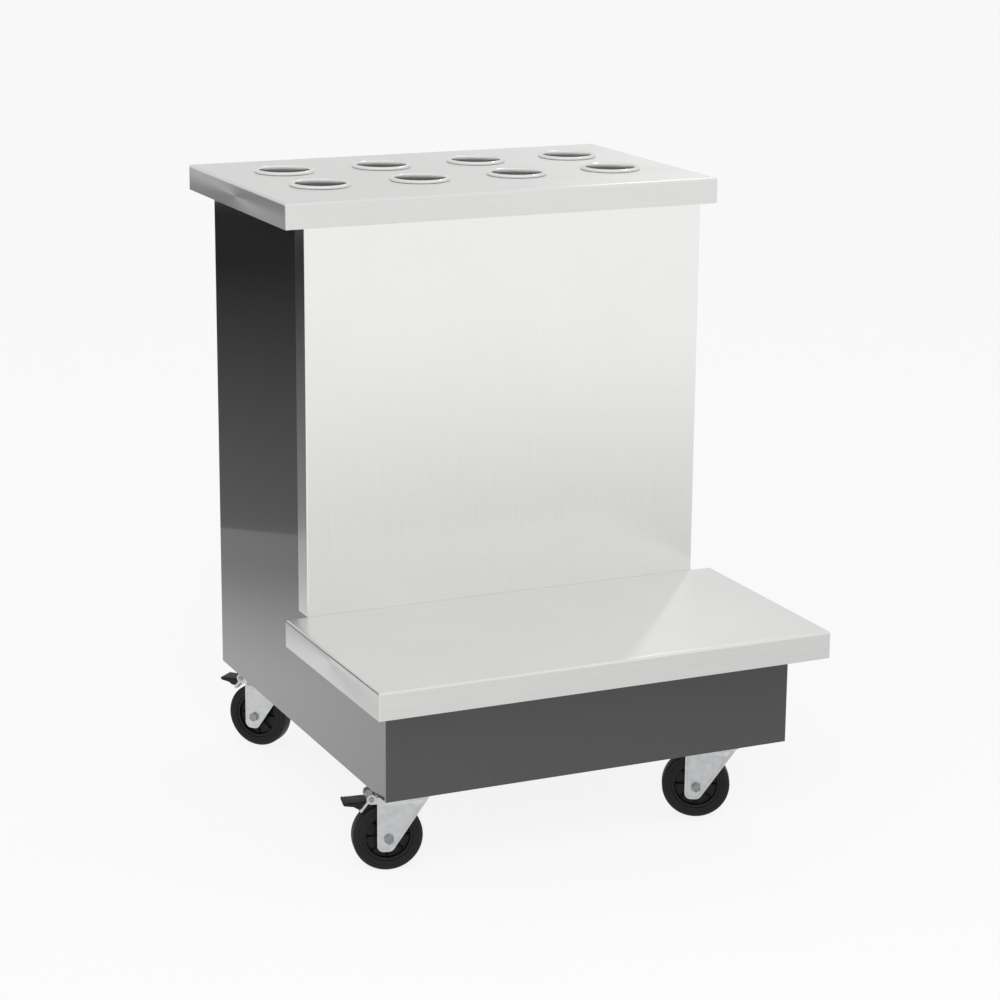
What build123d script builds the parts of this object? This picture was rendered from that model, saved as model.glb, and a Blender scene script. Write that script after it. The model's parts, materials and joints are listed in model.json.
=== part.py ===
from build123d import *

import math
import os

# Tray and silverware stand: a tall cabinet column with a low tray step in front, on four swivel casters.
# Frame: X to the right, the front faces -Y, Z up, origin on the floor at the middle of the footprint.
# All sizes are in millimetres.

# Body
body_width = 800.0
column_depth = 487.0
base_reach = 379.0
column_height = 997.0
shelf_height = 230.0
caster_height = 165.0
sheet = 1.5
frame_sheet = 2.5
deck_sheet = 2.0
bend_radius = 5.0
corner_radius = 3.0
panel_edge_radius = 1.2
angle_heel_radius = 2.0

# Work top
top_side_overhang = 35.0
top_rear_overhang = 46.0
top_front_overhang = 2.0
top_skirt = 48.0
hem = 12.0

# Tray shelf
shelf_side_overhang = 43.0
shelf_front_overhang = 75.0
shelf_skirt = 51.0
shelf_upstand = 25.0
shelf_notch_gap = 0.5
panel_seat_depth = 0.5

# Panels
front_return = 45.0
seam_gap = 0.4
rear_return = 25.0
base_return = 26.0
base_top_return = 40.0
deck_flange = 26.0

# Frame
upright_leg = 30.0
upright_side_leg = 70.0
rail_height = 38.0
rail_leg = 38.0
rail_end_gap = 3.0
stiffener_width = 60.0
stiffener_height = 20.0
stiffener_spacing = 400.0
channel_height = 30.0
fitting_gap = 1.0

# Storage shelf inside the column
storage_height = 400.0
storage_lip = 20.0
runner_leg = 30.0

# Silverware cylinders
cylinder_columns = 4
cylinder_rows = 2
cylinder_pitch_x = 199.0
cylinder_pitch_y = 190.0
cylinder_back_shift = 10.0
cutout_diameter = 104.8
cylinder_diameter = 98.0
cylinder_wall = 1.0
cylinder_depth = 131.0
rim_diameter = 114.0
rim_height = 6.0
rim_round = 3.0
drain_diameter = 8.0
drain_circle = 50.0
drain_count = 6

# Casters
caster_inset_x = 86.0
caster_inset_y = 92.0
caster_trail = 44.0
wheel_diameter = 127.0
tread_width = 32.0
tread_round = 6.0
tread_depth = 17.5
core_width = 28.0
core_rim = 6.0
core_web = 12.0
hub_diameter = 30.0
hub_width = 38.0
plate_length = 114.0
plate_width = 102.0
plate_thickness = 4.5
plate_corner_radius = 9.0
bolt_spacing_x = 66.7
bolt_spacing_y = 92.1
bolt_diameter = 8.0
bolt_across_flats = 13.0
bolt_head_height = 5.3
nut_height = 6.5
bolt_spare_thread = 2.0
slot_extra = 6.0

# Swivel bearing
race_outer_radius = 39.0
race_inner_radius = 24.0
race_ball_radius = 31.0
upper_race_drop = 9.5
lower_race_rise = 5.5
race_gap = 3.5
ball_diameter = 6.0
ball_count = 12
ball_clearance = 0.3
kingpin_diameter = 12.0
kingpin_head_diameter = 24.0
kingpin_head_height = 2.5
kingpin_nut_across_flats = 21.6
kingpin_nut_height = 8.0

# Fork
fork_sheet = 3.0
fork_inside = 40.0
leg_behind_axle = 21.0
leg_below_axle = 25.0
leg_foot = 27.0
leg_foot_radius = 12.0
leg_lead = 32.0
emboss_height = 1.2
emboss_lead = 26.0
emboss_margin = 4.0
axle_diameter = 9.5
axle_across_flats = 16.0
axle_head_height = 6.0
bush_diameter = 12.0

# Wheel brake on the two left casters
brake_pivot_x = 75.0
brake_pivot_drop = 26.0
brake_ear_radius = 9.0
brake_barrel_radius = 6.0
brake_pin_diameter = 6.0
brake_pin_head = 10.0
brake_pin_head_height = 2.0
brake_arm_width = 30.0
brake_arm_thickness = 5.0
shoe_reach_x = 19.0
shoe_reach_z = 25.0
pedal_start = 8.0
pedal_width = 36.0
pedal_length = 44.0
pedal_thickness = 6.5
pedal_nose = 3.0
pedal_step = 24.0
pedal_step_depth = 9.0
pedal_rib = 17.0
pedal_toe = 7.0
pedal_round = 1.5

# Screws on the rear flanges
screw_diameter = 4.0
screw_head_diameter = 9.0
screw_head_height = 2.2
screw_head_round = 1.5
screw_length = 12.0
screws_each_side = 5
screw_end_distance = 60.0

# Fits
running_fit = 0.05
seat_gap = 0.3

# Swivel angle of each caster at rest, from +X towards +Y, along the trail from the kingpin to the axle
swivel_at_rest = {
    "front_left": 167.0,
    "front_right": 153.0,
    "rear_left": 130.0,
    "rear_right": 145.0,
}
braked_casters = ("front_left", "rear_left")

# Levels, all above the floor
body_bottom = caster_height
deck_top = body_bottom + deck_sheet
shelf_top = body_bottom + shelf_height
shelf_under = shelf_top - sheet
top_surface = body_bottom + column_height
top_under = top_surface - sheet
rail_bottom = top_under - rail_height
front_panel_top = top_under - bend_radius
storage_top = body_bottom + storage_height
storage_under = storage_top - sheet

# Planes across the body
side_outer = body_width / 2
side_inner = side_outer - sheet
shelf_half = side_outer + shelf_side_overhang
top_half = side_outer + top_side_overhang

# Planes along the body, with the footprint centred on the origin
front_reach = base_reach + shelf_front_overhang
rear_reach = column_depth + top_rear_overhang
column_front = (front_reach - rear_reach) / 2
column_rear = column_front + column_depth
base_front = column_front - base_reach
shelf_front = column_front - front_reach
top_front = column_front - top_front_overhang
top_rear = column_front + rear_reach
panel_inside = column_front + sheet
rear_inside = column_rear - sheet

# Casters
wheel_radius = wheel_diameter / 2
caster_x = side_outer - caster_inset_x
caster_y = {
    "front": base_front + caster_inset_y,
    "rear": column_rear - caster_inset_y,
}
plate_bottom = body_bottom - plate_thickness
upper_race_bottom = plate_bottom - upper_race_drop
lower_race_top = upper_race_bottom - race_gap
crown_top = lower_race_top - lower_race_rise
crown_bottom = crown_top - fork_sheet
leg_outer = fork_inside / 2 + fork_sheet
brake_pivot_z = body_bottom - brake_pivot_drop

os.makedirs("parts", exist_ok=True)


def block(x, y, z):
    """A rectangular solid between two planes on each axis."""
    size = [high - low for low, high in (x, y, z)]
    middle = [(low + high) / 2 for low, high in (x, y, z)]
    return Pos(*middle) * Box(*size)


def rod(radius, low, high):
    """An upright cylinder on the Z axis between two heights."""
    return Pos(0, 0, (low + high) / 2) * Cylinder(radius, high - low)


def cross_rod(radius, x, z, low, high):
    """A cylinder along Y at a given X and Z, between two planes."""
    return Pos(x, (low + high) / 2, z) * Rot(90, 0, 0) * Cylinder(radius, high - low)


def hexagon(across_flats, low, high):
    """An upright hexagonal bar on the Z axis between two heights."""
    outline = RegularPolygon(across_flats / 2, 6, major_radius=False)
    return Pos(0, 0, low) * extrude(outline, high - low)


def side_profile(points, low, high):
    """A closed outline given in X and Z, made solid between two planes along Y."""
    outline = make_face(Polyline([(x, 0, z) for x, z in points], close=True))
    return Pos(0, high, 0) * extrude(outline, high - low, dir=(0, -1, 0))


def mirrored(shape):
    """The same piece on the other side of the stand."""
    return mirror(shape, Plane.YZ)


def write(name, *solids):
    """Writes one node. Several solids are identical fasteners, or the hardware of one assembly."""
    node = solids[0] if len(solids) == 1 else Compound(children=list(solids))
    node.label = name
    export_step(node, f"parts/{name}.step")


def folded_tray(half, front, rear, low, high):
    """Sheet steel with all four edges turned down: rounded bends outside and inside."""
    outer = block((-half, half), (front, rear), (low, high))
    outer = fillet(outer.edges().filter_by(Axis.Z), corner_radius)
    outer = fillet(outer.faces().sort_by(Axis.Z)[-1].edges(), bend_radius)
    inner = block((sheet - half, half - sheet), (front + sheet, rear - sheet), (low - 1, high - sheet))
    inner = fillet(inner.edges().filter_by(Axis.Z), corner_radius - sheet)
    inner = fillet(inner.faces().sort_by(Axis.Z)[-1].edges(), bend_radius - sheet)
    return outer - inner


def side_hem(half, front, rear, low):
    """The lower edge of a left skirt, turned inwards."""
    return block((-half + sheet / 2, -half + sheet + hem), (front, rear), (low, low + sheet))


def cylinder_places():
    """Centres of the silverware cylinders, the front row first, left to right."""
    middle = (top_front + top_rear) / 2 + cylinder_back_shift
    for row in range(cylinder_rows):
        for column in range(cylinder_columns):
            x = (column - (cylinder_columns - 1) / 2) * cylinder_pitch_x
            y = middle + (row - (cylinder_rows - 1) / 2) * cylinder_pitch_y
            yield x, y


def caster_place(corner):
    """Kingpin position of one caster."""
    end, side = corner.split("_")
    return (-caster_x if side == "left" else caster_x), caster_y[end]


def at_caster(corner, shape):
    """Turns a caster piece to its swivel angle at rest and sets it under the body."""
    x, y = caster_place(corner)
    return Pos(x, y, 0) * Rot(0, 0, swivel_at_rest[corner]) * shape


def bolt_places(corner):
    """Centres of the four bolts of one caster."""
    x, y = caster_place(corner)
    for i in (-1, 1):
        for j in (-1, 1):
            yield x + i * bolt_spacing_x / 2, y + j * bolt_spacing_y / 2


def mounting_holes(corner, low, high):
    """The four bolt holes of one caster, as rods to cut away."""
    for x, y in bolt_places(corner):
        yield Pos(x, y, 0) * rod(bolt_diameter / 2 + seat_gap, low, high)


def work_top():
    """Stainless top with turned-down edges and a round cut-out for each silverware cylinder."""
    low = top_surface - top_skirt
    top = folded_tray(top_half, top_front, top_rear, low, top_surface)
    left = side_hem(top_half, top_front + corner_radius, top_rear - corner_radius, low)
    rear = block(
        (corner_radius - top_half, top_half - corner_radius),
        (top_rear - sheet - hem, top_rear - sheet / 2),
        (low, low + sheet),
    )
    top = top + left + mirrored(left) + rear
    for x, y in cylinder_places():
        top -= Pos(x, y, 0) * rod(cutout_diameter / 2, top_under - 1, top_surface + 1)
    return top


def tray_shelf():
    """Stainless tray shelf: skirts on three sides, the rear edge set down under the front panel
    and turned up behind it."""
    low = shelf_top - shelf_skirt
    shelf = folded_tray(shelf_half, shelf_front, panel_inside, low, shelf_top)
    body_gap = side_outer + shelf_notch_gap
    shelf -= block((-body_gap, body_gap), (column_front - hem, panel_inside + 1), (low - 1, shelf_under))
    square_rear = block(
        (-side_outer, side_outer), (panel_inside - bend_radius, panel_inside), (shelf_under, shelf_top)
    )
    square_rear -= block(
        (-side_outer - 1, side_outer + 1),
        (column_front - seat_gap, panel_inside + 1),
        (shelf_top - panel_seat_depth, shelf_top + 1),
    )
    upright_edge = side_inner - upright_leg - fitting_gap
    upstand = block(
        (-upright_edge, upright_edge),
        (panel_inside, panel_inside + sheet),
        (shelf_under, shelf_top + shelf_upstand),
    )
    left = side_hem(shelf_half, shelf_front + corner_radius, column_front - corner_radius, low)
    front = block(
        (corner_radius - shelf_half, shelf_half - corner_radius),
        (shelf_front + sheet / 2, shelf_front + sheet + hem),
        (low, low + sheet),
    )
    return shelf + square_rear + upstand + left + mirrored(left) + front


def front_panel():
    """Stainless column front, wrapped round both corners onto the sides, its foot let into the shelf."""
    outer = block(
        (-side_outer, side_outer), (column_front, column_front + front_return), (shelf_top, front_panel_top)
    )
    outer = fillet(outer.edges().filter_by(Axis.Z).group_by(Axis.Y)[0], corner_radius)
    inner = block(
        (-side_inner, side_inner),
        (panel_inside, column_front + front_return + 1),
        (shelf_top - 1, front_panel_top + 1),
    )
    inner = fillet(inner.edges().filter_by(Axis.Z).group_by(Axis.Y)[0], corner_radius - sheet)
    foot = block(
        (corner_radius - side_outer, side_outer - corner_radius),
        (column_front, panel_inside),
        (shelf_top - panel_seat_depth, shelf_top),
    )
    return outer - inner + foot


def rear_screw_levels():
    """Heights of the screws that hold each side panel's rear flange."""
    low = deck_top + screw_end_distance
    high = rail_bottom - screw_end_distance
    step = (high - low) / (screws_each_side - 1)
    return [low + i * step for i in range(screws_each_side)]


def rear_screw_x():
    """Middle of the rear flange, on the right side."""
    return side_outer - rear_return / 2


def side_panel():
    """Left side: one stepped panel for the column and the base, with a flange at the rear."""
    seam = column_front + front_return + seam_gap
    outline = [
        (base_front + sheet, body_bottom),
        (column_rear, body_bottom),
        (column_rear, top_under),
        (seam, top_under),
        (seam, shelf_top),
        (panel_inside, shelf_top),
        (panel_inside, shelf_under),
        (base_front + sheet, shelf_under),
    ]
    face = make_face(Polyline([(-side_outer, y, z) for y, z in outline], close=True))
    panel = extrude(face, sheet, dir=(1, 0, 0))
    flange = (-side_outer, rear_return - side_outer)
    panel += block(flange, (rear_inside, column_rear), (body_bottom, top_under))
    hole = screw_diameter / 2 + running_fit
    for z in rear_screw_levels():
        panel -= cross_rod(hole, -rear_screw_x(), z, rear_inside - 1, column_rear + 1)
    return panel


def base_front_panel():
    """Front of the base under the tray shelf, folded back at both ends and along the top."""
    face = block((-side_outer, side_outer), (base_front, base_front + sheet), (body_bottom, shelf_under))
    face = fillet(face.edges().filter_by(Axis.Z).group_by(Axis.Y)[0], panel_edge_radius)
    end = block(
        (-side_inner, sheet - side_inner),
        (base_front + sheet / 2, base_front + base_return),
        (deck_top, shelf_under),
    )
    top = block(
        (-side_inner, side_inner),
        (base_front + sheet / 2, base_front + base_top_return),
        (shelf_under - sheet, shelf_under),
    )
    return face + end + mirrored(end) + top


def bottom_deck():
    """Floor of the cabinet, turned up at the front and at the rear."""
    flange_half = side_inner - upright_leg - fitting_gap / 2
    deck = block((-side_inner, side_inner), (base_front + sheet, rear_inside), (body_bottom, deck_top))
    width = (-flange_half, flange_half)
    levels = (body_bottom, deck_top + deck_flange)
    deck += block(width, (rear_inside - deck_sheet, rear_inside), levels)
    deck += block(width, (base_front + sheet, base_front + sheet + deck_sheet), levels)
    for corner in swivel_at_rest:
        for hole in mounting_holes(corner, body_bottom - 1, deck_top + 1):
            deck -= hole
    return deck


def caster_channel():
    """Left channel on the deck that takes the caster bolts, open upwards."""
    low, high = -caster_x - plate_width / 2, -caster_x + plate_width / 2
    front = base_front + sheet + deck_sheet + fitting_gap
    rear = rear_inside - deck_sheet - fitting_gap
    channel = block((low, high), (front, rear), (deck_top, deck_top + channel_height))
    hollow = block(
        (low + frame_sheet, high - frame_sheet),
        (front - 1, rear + 1),
        (deck_top + frame_sheet, deck_top + channel_height + 1),
    )
    channel -= hollow
    for corner in ("front_left", "rear_left"):
        for hole in mounting_holes(corner, deck_top - 1, deck_top + frame_sheet + 1):
            channel -= hole
    return channel


def angle(x, y, z, leg_x, leg_y):
    """An upright corner angle: one leg on the plane y[leg_y], the other on the plane x[leg_x]."""
    solid = block(x, y, z)
    cut_x = (x[0] + frame_sheet, x[1] + 1) if leg_x == 0 else (x[0] - 1, x[1] - frame_sheet)
    cut_y = (y[0] + frame_sheet, y[1] + 1) if leg_y == 0 else (y[0] - 1, y[1] - frame_sheet)
    solid -= block(cut_x, cut_y, (z[0] - 1, z[1] + 1))
    heel = solid.edges().filter_by(Axis.Z).sort_by_distance((x[leg_x], y[leg_y], (z[0] + z[1]) / 2))[0]
    return fillet(heel, angle_heel_radius)


def front_upright():
    """Left front corner post of the column, long enough on the side to reach past the seam."""
    return angle(
        (-side_inner, upright_leg - side_inner),
        (panel_inside, panel_inside + upright_side_leg),
        (deck_top, rail_bottom),
        0,
        0,
    )


def rear_upright():
    """Left rear corner post of the column, behind the side panel's flange."""
    post = angle(
        (-side_inner, upright_leg - side_inner),
        (rear_inside - upright_leg, rear_inside),
        (deck_top, rail_bottom),
        0,
        1,
    )
    hole = screw_diameter / 2 + running_fit
    for z in rear_screw_levels():
        post -= cross_rod(hole, -rear_screw_x(), z, rear_inside - upright_leg, column_rear)
    return post


def front_top_rail():
    """Angle along the front, under the top, its heel rounded to clear the bend of the top."""
    half = side_inner - rail_end_gap
    width = (-half, half)
    upright = block(width, (panel_inside, panel_inside + frame_sheet), (rail_bottom, top_under))
    flat = block(width, (panel_inside, panel_inside + rail_leg), (top_under - frame_sheet, top_under))
    rail = upright + flat
    heel = rail.edges().filter_by(Axis.X).sort_by_distance((0, panel_inside, top_under))[0]
    return fillet(heel, angle_heel_radius)


def rear_top_rail():
    """Angle along the rear, under the top, that heads the open back."""
    half = side_inner - rail_end_gap
    width = (-half, half)
    upright = block(width, (rear_inside - frame_sheet, rear_inside), (rail_bottom, top_under))
    flat = block(width, (rear_inside - rail_leg, rear_inside), (top_under - frame_sheet, top_under))
    return upright + flat


def side_top_rail():
    """Left angle under the top, between the front and rear rails."""
    reach = (panel_inside + rail_leg, rear_inside - rail_leg)
    upright = block((-side_inner, frame_sheet - side_inner), reach, (rail_bottom, top_under))
    flat = block((-side_inner, rail_leg - side_inner), reach, (top_under - frame_sheet, top_under))
    return upright + flat


def step_rail():
    """Angle across the body under the rear edge of the tray shelf."""
    low = shelf_under - rail_height
    width = (-side_inner, side_inner)
    upright = block(width, (panel_inside - frame_sheet, panel_inside), (low, shelf_under))
    flat = block(width, (panel_inside - rail_leg, panel_inside), (shelf_under - frame_sheet, shelf_under))
    return upright + flat


def shelf_stiffener():
    """Left channel welded under the tray shelf, open downwards."""
    middle = -stiffener_spacing / 2
    x = (middle - stiffener_width / 2, middle + stiffener_width / 2)
    y = (base_front + base_top_return + fitting_gap, panel_inside - rail_leg - fitting_gap)
    channel = block(x, y, (shelf_under - stiffener_height, shelf_under))
    hollow = block(
        (x[0] + frame_sheet, x[1] - frame_sheet),
        (y[0] - 1, y[1] + 1),
        (shelf_under - stiffener_height - 1, shelf_under - frame_sheet),
    )
    return channel - hollow


def storage_shelf():
    """Shelf inside the column, with its front and rear edges turned down."""
    half = side_inner - frame_sheet - fitting_gap
    front = panel_inside + frame_sheet + fitting_gap
    rear = rear_inside - frame_sheet - fitting_gap
    lip_half = side_inner - frame_sheet - runner_leg - fitting_gap
    plate = block((-half, half), (front, rear), (storage_under, storage_top))
    lip_levels = (storage_top - storage_lip, storage_top)
    front_lip = block((-lip_half, lip_half), (front, front + sheet), lip_levels)
    rear_lip = block((-lip_half, lip_half), (rear - sheet, rear), lip_levels)
    return plate + front_lip + rear_lip


def shelf_runner():
    """Left angle between the front and rear uprights that carries the storage shelf."""
    outer = frame_sheet - side_inner
    reach = (panel_inside + frame_sheet, rear_inside - frame_sheet)
    upright = block((outer, outer + frame_sheet), reach, (storage_under - runner_leg, storage_under))
    flat = block((outer, outer + runner_leg), reach, (storage_under - frame_sheet, storage_under))
    return upright + flat


def silverware_cylinder(x, y):
    """Stainless cup that hangs in its cut-out by a rounded rim, with drain holes in its floor."""
    radius = cylinder_diameter / 2
    bore = radius - cylinder_wall
    low = top_surface - cylinder_depth
    high = top_surface + rim_height
    cup = rod(radius, low, high)
    rim = rod(rim_diameter / 2, top_surface, high)
    rim = fillet(rim.edges().group_by(Axis.Z)[-1], rim_round)
    cup = cup + rim - rod(bore, low + cylinder_wall, high + 1)
    drain = rod(drain_diameter / 2, low - 1, low + cylinder_wall + 1)
    cup -= drain
    for i in range(drain_count):
        cup -= Rot(0, 0, i * 360 / drain_count) * Pos(drain_circle / 2, 0, 0) * drain
    return Pos(x, y, 0) * cup


def caster_plate():
    """Top plate with slotted bolt holes and the upper ball race pressed below it."""
    plate = Pos(0, 0, (plate_bottom + body_bottom) / 2) * Box(plate_width, plate_length, plate_thickness)
    plate = fillet(plate.edges().filter_by(Axis.Z), plate_corner_radius)
    race = rod(race_outer_radius, upper_race_bottom, plate_bottom)
    race -= rod(race_inner_radius, upper_race_bottom - 1, plate_bottom)
    plate += race
    groove_z = (upper_race_bottom + lower_race_top) / 2
    plate -= Pos(0, 0, groove_z) * Torus(race_ball_radius, ball_diameter / 2 + ball_clearance)
    plate -= rod(kingpin_diameter / 2 + running_fit, plate_bottom - 1, body_bottom + 1)
    head = kingpin_head_diameter / 2 + running_fit
    plate -= rod(head, body_bottom - kingpin_head_height, body_bottom + 1)
    slot_radius = bolt_diameter / 2 + seat_gap
    for i in (-1, 1):
        for j in (-1, 1):
            slot = SlotOverall(slot_extra + 2 * slot_radius, 2 * slot_radius)
            place = Pos(i * bolt_spacing_x / 2, j * bolt_spacing_y / 2, plate_bottom - 1)
            plate -= place * extrude(slot, plate_thickness + 2)
    return plate


def kingpin():
    """Pin riveted flush into the top plate, with the nut that keeps the fork on it."""
    pin = rod(kingpin_diameter / 2, crown_bottom - seat_gap - kingpin_nut_height, body_bottom)
    head = rod(kingpin_head_diameter / 2, body_bottom - kingpin_head_height, body_bottom)
    nut_top = crown_bottom - seat_gap
    nut = hexagon(kingpin_nut_across_flats, nut_top - kingpin_nut_height, nut_top)
    return pin + head + nut


def swivel_balls():
    """Ring of balls between the two races, each its own solid."""
    ball_z = (upper_race_bottom + lower_race_top) / 2
    for i in range(ball_count):
        yield Rot(0, 0, i * 360 / ball_count) * Pos(race_ball_radius, 0, ball_z) * Sphere(ball_diameter / 2)


def axle_hole(half):
    """Clearance hole for the axle bolt, from side to side through the wheel's axis."""
    return cross_rod(axle_diameter / 2 + running_fit, caster_trail, wheel_radius, -half, half)


def brake_pin_hole(half):
    """Clearance hole for the rivet of the brake, from side to side."""
    return cross_rod(brake_pin_diameter / 2 + running_fit, brake_pivot_x, brake_pivot_z, -half, half)


def leg_outline():
    """Side outline of a fork leg: upright behind the axle, slanting forward and up to the crown."""
    rear = caster_trail + leg_behind_axle
    foot = wheel_radius - leg_below_axle
    return [(-leg_lead, crown_top), (rear, crown_top), (rear, foot), (rear - leg_foot, foot)]


def fork_leg(braked):
    """One pressed leg in the fork's own frame, on the +Y side, with its embossed strip."""
    rear = caster_trail + leg_behind_axle
    leg = side_profile(leg_outline(), fork_inside / 2, leg_outer)
    foot_edges = leg.edges().filter_by(Axis.Y).group_by(Axis.Z)[0]
    leg = fillet(foot_edges, leg_foot_radius)
    foot = wheel_radius - leg_below_axle + emboss_margin
    strip = block(
        (caster_trail - emboss_lead, rear - emboss_margin),
        (leg_outer, leg_outer + emboss_height),
        (foot + leg_foot_radius, crown_bottom - emboss_margin),
    )
    leg += strip & Pos(0, emboss_height, 0) * leg
    if braked:
        ear = cross_rod(brake_ear_radius, brake_pivot_x, brake_pivot_z, fork_inside / 2, leg_outer)
        web = block(
            (rear - leg_foot, brake_pivot_x),
            (fork_inside / 2, leg_outer),
            (brake_pivot_z - brake_ear_radius, crown_top),
        )
        leg = leg + ear + web - brake_pin_hole(leg_outer + 1)
    return leg - axle_hole(leg_outer + emboss_height + 1)


def fork(braked):
    """Pressed fork: crown with the lower ball race, and a leg on each side of the wheel."""
    rear = caster_trail + leg_behind_axle
    crown = block((-leg_lead, rear), (-leg_outer, leg_outer), (crown_bottom, crown_top))
    crown += rod(race_outer_radius, crown_bottom, crown_top)
    race = rod(race_outer_radius, crown_top, lower_race_top)
    crown += race - rod(race_inner_radius, crown_top, lower_race_top + 1)
    leg = fork_leg(braked)
    body = crown + leg + mirror(leg, Plane.XZ)
    groove_z = (upper_race_bottom + lower_race_top) / 2
    body -= Pos(0, 0, groove_z) * Torus(race_ball_radius, ball_diameter / 2 + ball_clearance)
    return body - rod(kingpin_diameter / 2 + running_fit, crown_bottom - 1, lower_race_top + 1)


def axle_bolt():
    """Bolt through both legs, with a hexagon head."""
    seat = leg_outer + emboss_height
    tip = -seat - nut_height - bolt_spare_thread
    shank = cross_rod(axle_diameter / 2, caster_trail, wheel_radius, tip, seat)
    head = Rot(90, 0, 0) * hexagon(axle_across_flats, 0, axle_head_height)
    return shank + Pos(caster_trail, seat + axle_head_height, wheel_radius) * head


def axle_nut():
    """Nut on the axle bolt."""
    seat = leg_outer + emboss_height
    nut = Rot(90, 0, 0) * hexagon(axle_across_flats, 0, nut_height)
    nut = Pos(caster_trail, -seat, wheel_radius) * nut
    return nut - axle_hole(2 * seat)


def axle_bush():
    """Tube between the legs that the wheel turns on."""
    half = fork_inside / 2 - running_fit
    bush = cross_rod(bush_diameter / 2, caster_trail, wheel_radius, -half, half)
    return bush - axle_hole(half + 1)


def brake_pin():
    """Rivet through both ears of a braked fork."""
    pin = cross_rod(brake_pin_diameter / 2, brake_pivot_x, brake_pivot_z, -leg_outer, leg_outer)
    for low in (-leg_outer - brake_pin_head_height, leg_outer):
        high = low + brake_pin_head_height
        pin += cross_rod(brake_pin_head / 2, brake_pivot_x, brake_pivot_z, low, high)
    return pin


def wheel_core():
    """Moulded centre of the wheel: rim, web and hub."""
    rim_radius = wheel_radius - tread_depth
    core = cross_rod(rim_radius, 0, 0, -core_width / 2, core_width / 2)
    for side in (-1, 1):
        face = side * core_width / 2
        floor = side * core_web / 2
        core -= cross_rod(rim_radius - core_rim, 0, 0, min(face, floor), max(face, floor))
    core += cross_rod(hub_diameter / 2, 0, 0, -hub_width / 2, hub_width / 2)
    core -= cross_rod(bush_diameter / 2 + running_fit, 0, 0, -hub_width, hub_width)
    return Pos(caster_trail, 0, wheel_radius) * core


def tyre():
    """Solid tyre with rounded shoulders."""
    tread = cross_rod(wheel_radius, 0, 0, -tread_width / 2, tread_width / 2)
    tread = fillet(tread.edges().filter_by(GeomType.CIRCLE), tread_round)
    tread -= cross_rod(wheel_radius - tread_depth + running_fit, 0, 0, -tread_width, tread_width)
    return Pos(caster_trail, 0, wheel_radius) * tread


def shoe_direction():
    """Unit vector along the brake arm from its pivot to the shoe, and the arm's length."""
    length = math.hypot(shoe_reach_x, shoe_reach_z)
    return shoe_reach_x / length, -shoe_reach_z / length, length


def arm_point(along, outward):
    """A point beside the brake arm: a distance along it and a distance away from the wheel."""
    dx, dz, _ = shoe_direction()
    return brake_pivot_x + along * dx - outward * dz, brake_pivot_z + along * dz + outward * dx


def brake_arm():
    """Steel arm on the pin, whose lower end presses on the tyre."""
    _, _, length = shoe_direction()
    half = brake_arm_thickness / 2
    outline = [arm_point(0, -half), arm_point(length, -half), arm_point(length, half), arm_point(0, half)]
    y = brake_arm_width / 2
    barrel = cross_rod(brake_barrel_radius, brake_pivot_x, brake_pivot_z, -y, y)
    return side_profile(outline, -y, y) + barrel - brake_pin_hole(y + 1)


def brake_pedal():
    """Black foot pedal fixed to the outer face of the brake arm."""
    half = brake_arm_thickness / 2
    start = arm_point(pedal_start, half)
    low = arm_point(pedal_start + pedal_rib, half)
    tip = start[0] + pedal_length
    outline = [
        start,
        (tip - pedal_nose, start[1]),
        (tip, start[1] - pedal_nose),
        (tip - pedal_nose, start[1] - pedal_thickness),
        (start[0] + pedal_step, start[1] - pedal_step_depth),
        (low[0] + pedal_toe, low[1]),
        low,
    ]
    pedal = side_profile(outline, -pedal_width / 2, pedal_width / 2)
    return fillet(pedal.edges().filter_by(Axis.Y).sort_by(Axis.X)[-2:], pedal_round)


def caster_bolt_set(corner):
    """Four hexagon bolts and nuts through the plate, the deck and the channel."""
    nut_seat = deck_top + frame_sheet
    tip = nut_seat + nut_height + bolt_spare_thread
    head = hexagon(bolt_across_flats, plate_bottom - bolt_head_height, plate_bottom)
    bolt = head + rod(bolt_diameter / 2, plate_bottom, tip)
    nut = hexagon(bolt_across_flats, nut_seat, nut_seat + nut_height)
    nut -= rod(bolt_diameter / 2 + running_fit, nut_seat - 1, tip)
    for x, y in bolt_places(corner):
        yield Pos(x, y, 0) * bolt
        yield Pos(x, y, 0) * nut


def rear_screws():
    """Pan-head screws that hold the side panels' rear flanges to the rear uprights."""
    high = column_rear + screw_head_height
    head = cross_rod(screw_head_diameter / 2, 0, 0, column_rear, high)
    rim = head.edges().filter_by(GeomType.CIRCLE).group_by(Axis.Y)[-1]
    head = fillet(rim, screw_head_round)
    screw = head + cross_rod(screw_diameter / 2, 0, 0, column_rear - screw_length, column_rear)
    for x in (-rear_screw_x(), rear_screw_x()):
        for z in rear_screw_levels():
            yield Pos(x, 0, z) * screw


def write_pair(name, shape):
    """A left piece and its mirror image on the right."""
    write(f"left_{name}", shape)
    write(f"right_{name}", mirrored(shape))


write("work_top", work_top())
write("tray_shelf", tray_shelf())
write("front_panel", front_panel())
write("base_front_panel", base_front_panel())
write("bottom_deck", bottom_deck())
write("storage_shelf", storage_shelf())
write("front_top_rail", front_top_rail())
write("rear_top_rail", rear_top_rail())
write("step_rail", step_rail())
write_pair("side_panel", side_panel())
write_pair("front_upright", front_upright())
write_pair("rear_upright", rear_upright())
write_pair("top_rail", side_top_rail())
write_pair("caster_channel", caster_channel())
write_pair("shelf_stiffener", shelf_stiffener())
write_pair("shelf_runner", shelf_runner())
write("rear_screws", *rear_screws())

for number, (x, y) in enumerate(cylinder_places(), 1):
    write(f"silverware_cylinder_{number}", silverware_cylinder(x, y))

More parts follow.
